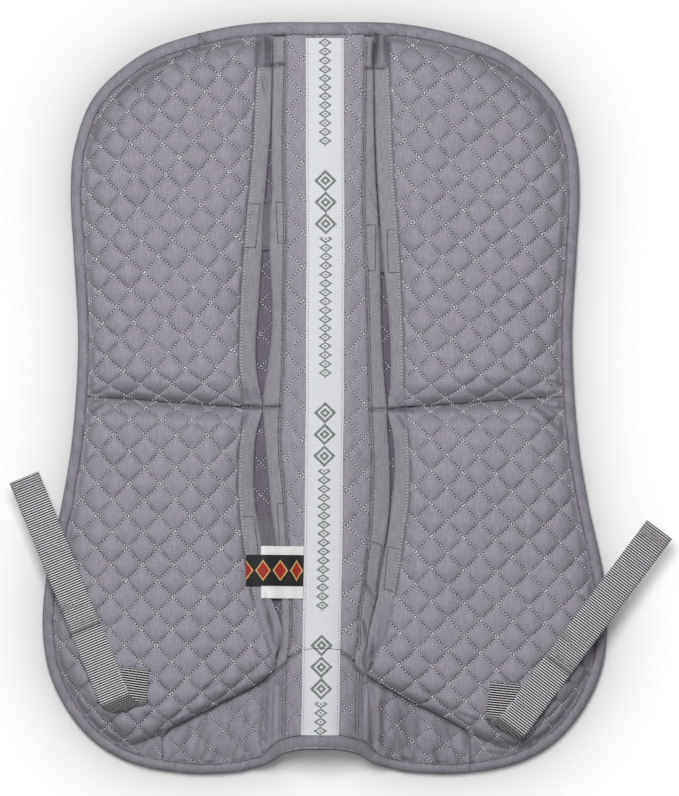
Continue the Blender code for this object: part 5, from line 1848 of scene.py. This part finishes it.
def makeTape():
    y = np.arange(tapeShape["front"], tapeShape["rear"], 1.5)
    across = np.linspace(-1, 1, 31)
    wobble = softNoise(y, y * 0, 40, 105) * 0.35
    x = across[None, :] * tapeShape["half"] + wobble[:, None]
    yy = np.broadcast_to(y[:, None], x.shape)
    edge = 0.3 * rolledEdge(tapeShape["half"] * (1 - np.abs(across)), 0.9)[None, :]
    seamDip = 0.35 * np.exp(-((yy - witherY) / 0.9) ** 2) \
        + 0.25 * np.exp(-((np.abs(x) - tapeShape["seam"]) / 0.5) ** 2)
    top = np.stack([x, yy, tapeTop(x, yy) - edge - seamDip], -1)
    uv = np.stack([across[None, :] * tapeShape["half"] + 0 * x, yy], -1)
    item = gridShell("tape_ribbon", top, tapeShape["thick"], makeTapeMaterial(), uv)
    joinHalves(item)
    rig.replaces(item, "spine_tape")
    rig.slot(item, "tape")
    declareSheet(item, top, "laid", ["spine_strip_left", "spine_strip_right"])
    lines = [column(np.full(len(y), side * tapeShape["seam"]) + wobble, y) for side in (-1, 1)]
    tapeThread = threadMaterial("tapeThread", (0.62, 0.63, 0.66, 1), 0.6)
    thread = sewLines("tape_seam", lines, tapeTop, 2.6, tapeThread, 0.2)
    joinHalves(thread)
    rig.slot(thread, "tape")
    cross = sewLines("cross_seam", [[(-15, -202), (-8, -201.2), (0, -201), (8, -201.2), (15, -202)]],
                     tapeTop, 1.9, seamThread, 0.24)
    joinHalves(cross)
    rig.slot(cross, "tape")


makeTape()
print("tape made")


strapShape = {
    "width": 25.4,
    # both ends of the line where the strap lies flat, of the anchor's front end, the middle of the tip
    # and the anchor's rear end
    "left": {"flatEnd": ((-182.5, -246), (-157.3, -234)),
             "frontEnd": ((-168.5, -251.5), (-143.2, -246.5)),
             "tip": (-242.6, -63.3), "anchorRear": (-214, -217.5), "anchorLean": 1.5},
    "right": {"flatEnd": ((141.5, -254.5), (162.8, -269.5)),
              "frontEnd": ((129.5, -258.5), (154, -269)),
              "tip": (269.5, -105.4), "anchorRear": (-226.5, -229), "anchorLean": 3.5},
    "height": 27.9,
    "drop": 0.026,       # fall of the strap for each millimetre from its fold
    "thick": 2.0,
    "double": 4.2,
    "single": 59.0,      # length before the strap is doubled
    "roll": 2.7,         # radius of the turn at the fold
    "ribPitch": 1.97,
    "ribHigh": 0.42,
    "anchorPitch": 1.96,
    "anchorLift": 6.0,   # over the foot of the cover, above its quilting
    "columns": 43,       # points across the webbing
    "turnRows": 29,      # points along the turn at the fold
    "anchorRows": 75,
}


def makeWebMaterial(name, pitch, edge):
    # webbing: pale ribs of short slanting yarns with painted shade in the hollows, paler yarn ends scattered over them
    material, tree, shader = newMaterial(name, 0.5, 0.15)
    ribs = placeGroup(tree, wovenRibs, Place=clothPlace(tree), Pitch=pitch, Yarn=2.05)
    speck = noiseField(tree, objectPlace(tree), 1100.0, 2.0, 0.7)
    rib, yarns, seam = ribs["Rib"], ribs["Yarns"], pointValue(tree, "seam")
    lit = ramp(tree, rib, edge, edge + 0.22) * ramp(tree, yarns, 0.05, 0.45, 0.3, 1.0)
    lit = lit * ramp(tree, speck, 0.25, 0.6, 0.75, 1.0)
    mess = seam * ramp(tree, speck, 0.42, 0.60)
    lit = (lit * (1.0 - seam * 0.75)).calc("MAXIMUM", mess * 0.55)
    shade = mixColour(tree, lit, shades["webbingDark"], shades["webbing"])
    # painted shade where the webbing turns, dark brown with faint yarns
    turnShade = mixColour(tree, ramp(tree, yarns, 0.2, 0.9, 0.0, 0.28), shades["turnShade"], shade)
    shade = mixColour(tree, pointValue(tree, "turnShade"), shade, turnShade)
    feed(shader.inputs["Base Color"], shade)
    bumped(tree, shader, rib * yarns, 0.0003)
    return material


strapWeave = makeWebMaterial("strapWeave", strapShape["ribPitch"], 0.65)
anchorWeave = makeWebMaterial("anchorWeave", strapShape["anchorPitch"], 0.76)


def webBand(name, plan, normal, uv, thick, pitch, sewn, turnShade, material):
    # webbing over a grid of centre points with their normals: ribs across it, |sin|^0.7, on both faces
    along, off = uv[..., 1], uv[..., 0]
    half = np.abs(off).max()
    thin = np.sqrt(np.clip(1 - (np.abs(off) / half) ** 8, 0, 1))
    rib = np.abs(np.sin(np.pi * along / pitch)) ** 0.7
    slant = (off + 0.35 * along) / 1.7
    relief = strapShape["ribHigh"] * rib * (0.72 + 0.28 * np.abs(np.sin(np.pi * slant)))
    relief = relief * thin * (1 - 0.6 * sewn)
    top = plan + normal * (thick * (0.55 + 0.45 * thin) + relief - 0.15)[..., None]
    bottom = plan + normal * (0.45 * thick * (1 - thin) + 0.2 - relief * 0.5)[..., None]
    item = shell(name, top.reshape(-1, 3), bottom.reshape(-1, 3), gridFaces(*along.shape), material,
                 uv.reshape(-1, 2))
    markSkins(item, "seam", sewn)
    markSkins(item, "turnShade", turnShade)
    return item


def anchorLevel(x, y, word):
    return layerFoot(x, y) + coverRise(x, y, word, seamGaps(x, y)) + strapShape["anchorLift"]


def strapPlan(word, off, front):
    # centre points of the free webbing: straight from its flat end to its tip; before that it turns down
    # and under in a cone, a cubic curve for each thread, to the front end of the anchor
    side = strapShape[word]
    middle = np.mean(side["flatEnd"], 0)
    run = np.array(side["tip"]) - middle
    length = float(np.linalg.norm(run))
    run /= length
    across = np.array([run[1], -run[0]])
    places = np.arange(0, length + 0.01, 0.45)
    flat, o = np.meshgrid(places, off, indexing="ij")
    wave = 0.35 * np.sin(flat / 23) * smoothStep(flat / 40)
    height = strapShape["height"] - strapShape["drop"] * flat + wave
    plan = np.dstack([middle + flat[..., None] * run + o[..., None] * across, height])
    level = anchorLevel(front[..., 0], front[..., 1], word)[..., None] + 0.4
    start = plan[:1]
    ahead = np.dstack([start[..., :2] - run * strapShape["roll"] * 2.6, start[..., 2:] + 0.3])
    under = np.concatenate([front - np.array([0, strapShape["roll"] * 1.5]), level + 0.3], -1)
    back = np.concatenate([front + np.array([0, 3.5]), level], -1)
    t = np.linspace(1, 0, strapShape["turnRows"] + 1)[:-1][:, None, None]
    rolled = start * (1 - t) ** 3 + 3 * ahead * t * (1 - t) ** 2 \
        + 3 * under * t**2 * (1 - t) + back * t**3
    return np.concatenate([rolled, plan]), length


def makeStrap(word):
    side = strapShape[word]
    frontEnd = np.array(side["frontEnd"], float)
    off = np.linspace(-strapShape["width"] / 2, strapShape["width"] / 2, strapShape["columns"])
    share = (off / strapShape["width"] + 0.5)[None, :, None]
    front = frontEnd[0] * (1 - share) + frontEnd[1] * share
    plan, length = strapPlan(word, off, front)
    steps = np.linalg.norm(np.diff(plan, axis=0), axis=2)
    a = np.concatenate([np.zeros((1, len(off))), np.cumsum(steps, 0)])
    a = a - a[strapShape["turnRows"]]
    o = np.broadcast_to(off, a.shape)
    normal = np.cross(np.gradient(plan, axis=1), np.gradient(plan, axis=0))
    normal /= np.linalg.norm(normal, axis=2)[..., None]
    normal *= np.sign(normal[-1, strapShape["columns"] // 2, 2])
    turn = np.clip(-a / 6, 0, 1)
    doubled = a - strapShape["single"]      # distance past the place where it is doubled
    step = smoothStep(doubled / 0.6)
    thick = strapShape["thick"] + (strapShape["double"] - strapShape["thick"]) * step
    thick = thick + 0.5 * np.exp(-((doubled - 1.6) / 1.3) ** 2)
    patch = softNoise(a, o, 4.0, 7) * 0.5 + 0.5
    sewn = np.exp(-((doubled - 5.5) / 4.5) ** 2) * patch \
        + 0.8 * np.exp(-((doubled - 22) / 4) ** 2) * (patch > 0.45) \
        + 0.8 * np.exp(-((a - length + 9) / 7) ** 2) * patch
    # painted shade in a thin line at the edge of the doubled layer and over the turn
    sewn = np.clip(sewn + 0.9 * np.exp(-((doubled - 0.3) / 0.8) ** 2) + turn * 0.3, 0, 1)
    # painted shade where the webbing turns: the fold, the edge of the doubled layer and the tip
    stepShade = np.exp(-((doubled - 0.2) / 0.9) ** 2)
    turnShade = smoothStep(-a / 5) * 0.9 + stepShade * 0.8 + np.exp(-((length - a) / 0.9) ** 2) * 0.7
    turnShade = np.clip(turnShade, 0, 1)
    item = webBand(f"free_webbing_{word}", plan, normal, np.stack([o, a], -1), thick,
                   strapShape["ribPitch"], sewn, turnShade, strapWeave)
    # its lower end stays with the anchor, the rest swings, and the turn between them bends
    fold = (frontEnd.mean(0) + np.array([padSize["spineX"], 0])) / 1000
    line = frontEnd[1] - frontEnd[0]
    past = fold + np.array([-line[1], line[0]]) / np.linalg.norm(line) * 0.005
    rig.blend(item, bodyOf[word], f"free_strap_{word}", start=(*fold, 0.023), end=(*past, 0.027))
    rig.replaces(item, f"strap_{word}")
    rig.slot(item, "webbing")
    makeAnchor(word, front, share, off)


def makeAnchor(word, front, share, off):
    # the webbing sewn to the pad, from the fold to its rear end
    side = strapShape[word]
    rows = np.linspace(0, 1, strapShape["anchorRows"])[:, None]
    first, last = side["anchorRear"]
    rear = first * (1 - share[..., 0]) + last * share[..., 0]
    x = front[..., 0] + side["anchorLean"] * rows
    y = (front[..., 1] + 0.8) * (1 - rows) + rear * rows
    foot = anchorLevel(x, y, word) - 1.2 * smoothStep((y - rear + 5) / 5)
    sewn = 0.8 * np.exp(-((y - rear + 1) / 1.5) ** 2) \
        + 0.7 * np.exp(-((y - front[..., 1] - 2) / 3.0) ** 2)
    # painted shade where the strap turns over the anchor's front end
    turnShade = 0.9 * np.exp(-((y - front[..., 1]) / 3) ** 2)
    uv = np.stack([np.broadcast_to(off, x.shape), y - rear], -1)
    band = webBand(f"anchor_webbing_{word}", np.dstack([x, y, foot]), np.dstack([x * 0, x * 0, x * 0 + 1]),
                   uv, np.full(x.shape, strapShape["thick"]), strapShape["anchorPitch"],
                   np.clip(sewn, 0, 1), np.clip(turnShade, 0, 1), anchorWeave)
    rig.ride(band, bodyOf[word])
    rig.replaces(band, f"strap_anchor_{word}")
    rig.slot(band, "webbing")


for word in ("left", "right"):
    makeStrap(word)
print("straps made")


labelShape = {
    "start": 15.6,       # beside the edge of the tape
    "easing": 9,         # points over which the height is evened out
    "spare": (24, 8),    # points before the start and past the end, dropped after that
    "care_label": {"rows": (-161, -119), "reach": 52, "lift": 0.9},
    "woven_label": {"rows": (-151, -126), "reach": 64, "lift": 1.7},
}


def makeLabelMaterials():
    plain, tree, shader = newMaterial("satinLabel", 0.45, 0.1)
    thread = noiseField(tree, stretched(tree, objectPlace(tree), (300, 2500, 300)), 1.0, 1.0)
    cloth = mixColour(tree, thread, tinted(shades["label"], 0.82), shades["label"])
    feed(shader.inputs["Base Color"], cloth)
    bumped(tree, shader, thread, 0.00005)
    woven, tree, shader = newMaterial("wovenLabel", 0.6, 0.1)
    across, along, _ = axes(tree, clothPlace(tree))
    pitch = 14.0         # from one diamond to the next
    reach = abs(across % pitch - pitch / 2) / 6.2 + abs(along) / 8.6
    threads = noiseField(tree, stretched(tree, objectPlace(tree), (400, 2600, 300)), 1.0, 1.0)
    shade = mixColour(tree, reach < 1.0, shades["darkLabel"], shades["labelGold"])
    shade = mixColour(tree, reach < 0.82, shade, shades["labelRed"])
    shade = mixColour(tree, threads * 0.25, shade, (0.05, 0.04, 0.04, 1))
    feed(shader.inputs["Base Color"], shade)
    bumped(tree, shader, threads, 0.00008)
    return {"care_label": plain, "woven_label": woven}


def makeLabels():
    materials = makeLabelMaterials()
    height = topHeight("left")
    before, after = labelShape["spare"]
    window = np.ones(labelShape["easing"]) / labelShape["easing"]
    for name in ("care_label", "woven_label"):
        shape = labelShape[name]
        low, high = shape["rows"]
        out = np.arange(labelShape["start"] - before, shape["reach"] + after + 0.01, 1.0)
        rows = np.arange(low, high + 0.01, 1.0)
        y, x = np.meshgrid(rows, -out, indexing="ij")
        under = height(x, y)
        spine = layerFoot(x, y) + padSize["cover"] + 1.3
        under = np.where(np.abs(x) < 27, spine, np.maximum(under, spine - 1.0))
        eased = np.apply_along_axis(lambda row: np.convolve(row, window, "same"), 1, under)
        z = np.maximum(eased, under - 0.2)[:, before:-after] + shape["lift"] + 0.3
        x, y = x[:, before:-after], y[:, before:-after]
        z = z + np.maximum(0, np.abs(x) - 50) * 0.10
        z = z + 0.35 * np.sin((np.abs(x) - 14) / 11) * np.cos((y - low) / 13)
        top = np.stack([x, y, z], -1)
        uv = np.stack([np.abs(x) - 15, y - (low + high) / 2], -1)
        item = gridShell(f"{name}_cloth", top, 0.4, materials[name], uv)
        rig.ride(item, "labels")
        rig.replaces(item, name)
        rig.slot(item, "dark_label" if name == "woven_label" else "label")
        declareSheet(item, top, "laid", ["spine_strip_left"])


makeLabels()
print("labels made")


def planBox(node):
    # box of a CAD node in pad millimetres: lowest and highest distance from the spine, then of y
    low, high = (np.array(corner) * 1000 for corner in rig.box(node))
    x = np.abs(np.array([low[0], high[0]]) - padSize["spineX"])
    return float(x.min()), float(x.max()), float(low[1]), float(high[1])


def fuzzyMaterial(name, pale, dark, scale, bump, roughness=0.95):
    # open-pored foam or a pile of hooks and loops: hollows between specks
    material, tree, shader = newMaterial(name, roughness, 0.2)
    pores = noiseField(tree, objectPlace(tree), scale, 3.0, 0.75)
    feed(shader.inputs["Base Color"], mixColour(tree, ramp(tree, pores, 0.32, 0.66), dark, pale))
    bumped(tree, shader, pores, bump)
    return material


memoryFoam = fuzzyMaterial("memoryFoam", shades["foam"], shades["foamDark"], 700.0, 0.0006)
hookAndLoop = fuzzyMaterial("hookAndLoop", shades["hook"], tinted(shades["hook"], 0.4), 1500.0, 0.0005)

foamShape = {
    "voxel": 0.003,
    "rounds": 6,            # of smoothing
    "travel": (0, 3, 6),    # places on the way to the mouth where it has to fit under the cover
    "clear": 0.8,
}


def coverUnder(x, y, end, word):
    # underside of a pocket cover at the lowest place of its quilting
    rise = coverRise(x, y, word, seamGaps(x, y))
    return np.minimum(layerFoot(x, y) + rise * 0.98, plainTop(x, y, f"{end}_{word}") - 1.4)


def makeFoam(end, word):
    # the foam insert with softened edges: the CAD body remeshed, smoothed and brought back to its size,
    # then what stands above the cover anywhere on its way to the mouth is pressed almost flat
    name = f"foam_insert_{end}_{word}"
    work = addObject("foamWork", frame["nodes"][name].data.copy())
    remesh = work.modifiers.new("remesh", "REMESH")
    remesh.mode = "VOXEL"
    remesh.voxel_size = foamShape["voxel"]
    smooth = work.modifiers.new("smooth", "SMOOTH")
    smooth.iterations = foamShape["rounds"]
    smooth.factor = 0.5
    bpy.context.view_layer.update()
    mesh = bpy.data.meshes.new_from_object(work.evaluated_get(bpy.context.evaluated_depsgraph_get()))
    bpy.data.objects.remove(work)
    place = meshPlaces(mesh)
    low, high = (np.array(corner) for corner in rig.box(name))
    share = (place - place.min(0)) / (place.max(0) - place.min(0))
    place = low + share * (high - low)
    x, y, z = (place * 1000 - np.array([padSize["spineX"], 0, 0])).T
    room = np.min([coverUnder(x - sideSign[word] * step, y, end, word)
                   for step in foamShape["travel"]], 0)
    room = np.maximum(room - foamShape["clear"], layerFoot(x, y) + foamShape["clear"])
    place[:, 2] = (z - 0.96 * np.maximum(z - room, 0)) / 1000
    mesh.vertices.foreach_set("co", place.astype(np.float32).ravel())
    mesh.materials.clear()
    mesh.materials.append(memoryFoam)
    mesh.shade_smooth()
    mesh.update()
    item = addObject(f"soft_foam_{end}_{word}", mesh)
    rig.ride(item, f"insert_{end}_{word}")
    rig.replaces(item, name)
    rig.slot(item, "foam")
    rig.padded(item, fill=0.9)


def makeClosure(end, word):
    # the tongue comes out under the inner band and goes below the flap, where the patch meets it
    key = f"{end}_{word}"
    sign = sideSign[word]
    near, far, low, high = planBox(f"closure_tongue_{key}")
    y, place = np.meshgrid(stations(low, high, 1.5), np.linspace(near, far, 30), indexing="ij")
    x = place * sign
    slotIn, slotOut = slotX(word, y, False), slotX(word, y)
    inside = layerFoot(x, y) + 3.2
    outside = plainTop(np.sign(x) * np.maximum(place, slotOut + 1), y, key) - 3.6
    share = smoothStep((place - slotIn + 1) / np.maximum(slotOut - slotIn + 3, 2.5))
    z = inside * (1 - share) + np.maximum(outside, inside) * share
    hem = 0.35 * np.exp(-((np.minimum(y - low, high - y) - 2.2) / 0.8) ** 2)
    top = np.stack([x, y, z - hem], -1)
    item = gridShell(f"tongue_{key}_cloth", top, 1.0, shadedTongueCloth, np.stack([x / 10, y / 10], -1))
    markSkins(item, "seam", hem * 2)
    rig.ride(item, bodyOf[word])
    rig.replaces(item, f"closure_tongue_{key}")
    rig.slot(item, "facing")
    declareSheet(item, top, "laid", [f"facing_{word}"])
    near, far, low, high = planBox(f"closure_patch_{key}")
    y, place = np.meshgrid(stations(low, high, 1.5), np.linspace(near, far - 1.8, 16), indexing="ij")
    x = place * sign
    z = plainTop(x, y, key) - 2.0
    patch = gridShell(f"patch_{key}_pile", np.stack([x, y, z], -1), 1.1, hookAndLoop,
                      np.stack([x / 10, y / 10], -1))
    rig.ride(patch, f"flap_{key}")
    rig.replaces(patch, f"closure_patch_{key}")
    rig.slot(patch, "hook_and_loop")


for end in ("rear", "front"):
    for word in ("left", "right"):
        makeFoam(end, word)
        makeClosure(end, word)
for name, node in frame["nodes"].items():
    if name.startswith("strap_hook_patch") or name.startswith("strap_loop_patch"):
        node.data.materials.clear()
        node.data.materials.append(hookAndLoop)
print("foam and closures made")


stageShape = {
    "floor": (0.73, 0.73, 0.73, 1),
    "world": ((0.97, 0.98, 1.0, 1), 0.20),
    "lamp": {"place": (-0.20, 0.50, 1.9), "size": 0.8, "power": 30.8},
    # brightness of the paper as the camera sees it, by distance from the pad in millimetres: a painted soft shadow
    # round the pad that fades to even white
    "paper": [(0, 0.71), (3, 0.775), (6.5, 0.80), (13, 0.855), (19, 0.888), (26, 0.93), (39, 0.99),
              (52, 1.02), (65, 1.05)],
    # 1.24 pixels to a millimetre, from far enough above for little perspective
    "camera": {"distance": 6.0, "focus": 0.018, "sensor": 36.0, "imageHigh": 796, "scale": 1240.0,
               "place": (-0.0011, 0.0004)},
}


def floorGlowAndShadow(x, y):
    # what the camera sees on top of the light on the paper: the wanted brightness less that of the lamp,
    # (power / pi^2) cos cos / d^2, and of the studio
    lamp = stageShape["lamp"]
    place = np.array(lamp["place"])
    away = np.stack([x / 1000, y / 1000, np.zeros(x.shape)], -1) - place
    distance = np.linalg.norm(away, axis=-1)
    straight = -place / np.linalg.norm(place)
    facing = np.clip((away @ straight) / distance, 0, 1) * place[2] / distance
    light = lamp["power"] / math.pi**2 * facing / distance**2 + stageShape["world"][1]
    # the wanted brightness is lower near the pad's rest outline: a painted soft shadow
    gap = loopDistance(np.stack([x, y], -1), wholeLoop(edgeHalf))[0]
    wanted = np.interp(-gap, *zip(*stageShape["paper"]))
    return np.clip(wanted - light * stageShape["floor"][0], 0, 1)


def makeStage():
    floorMaterial, tree, shader = newMaterial("floorPaper", 0.9)
    shader.inputs["Base Color"].default_value = stageShape["floor"]
    shader.inputs["Specular IOR Level"].default_value = 0.0
    seen = Signal(tree, tree.nodes.new("ShaderNodeLightPath").outputs["Is Camera Ray"])
    shader.inputs["Emission Color"].default_value = (1, 1, 1, 1)
    # camera-only glow: evenly white paper, with a painted soft shadow near the pad
    feed(shader.inputs["Emission Strength"], pointValue(tree, "lift") * seen)
    line = np.concatenate([[-6000, -2500, -1200], np.linspace(-700, 700, 176), [1200, 2500, 6000]])
    y, x = np.meshgrid(line, line, indexing="ij")
    mesh = bpy.data.meshes.new("floor")
    points = np.stack([x, y, np.full(x.shape, -0.2)], -1).reshape(-1, 3) / 1000
    mesh.from_pydata(points, [], gridFaces(len(line), len(line)).tolist())
    mesh.materials.append(floorMaterial)
    if mesh.polygons[0].normal.z < 0:
        mesh.flip_normals()
    floor = addObject("floor", mesh)
    markPoints(floor, "lift", floorGlowAndShadow(x - padSize["spineX"], y).ravel())
    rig.stage(floor)
    world = bpy.data.worlds.new("studio")
    bpy.context.scene.world = world
    world.use_nodes = True
    colour, strength = stageShape["world"]
    world.node_tree.nodes["Background"].inputs[0].default_value = colour
    world.node_tree.nodes["Background"].inputs[1].default_value = strength
    shape = stageShape["lamp"]
    lamp = bpy.data.lights.new("keyLamp", "AREA")
    lamp.size = shape["size"]
    lamp.energy = shape["power"]
    item = addObject("keyLamp", lamp)
    item.location = shape["place"]
    item.rotation_euler = (-item.location).to_track_quat("-Z", "Y").to_euler()
    item.visible_camera = False


def makeCamera():
    shape = stageShape["camera"]
    lens = bpy.data.cameras.new("viewCamera")
    lens.sensor_width = shape["sensor"]
    lens.lens = shape["sensor"] * shape["distance"] / (shape["imageHigh"] / shape["scale"])
    lens.clip_end = 40.0
    camera = addObject("viewCamera", lens)
    camera.location = (*shape["place"], shape["distance"] + shape["focus"])
    bpy.context.scene.camera = camera


makeStage()
makeCamera()
bpy.context.scene.view_settings.view_transform = "Standard"
print("stage made")

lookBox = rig.bounds()
with open("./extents.json", "w") as sizeFile:
    sizes = {"cad": [list(corner) for corner in cadBox], "look": [list(corner) for corner in lookBox]}
    json.dump(sizes, sizeFile)
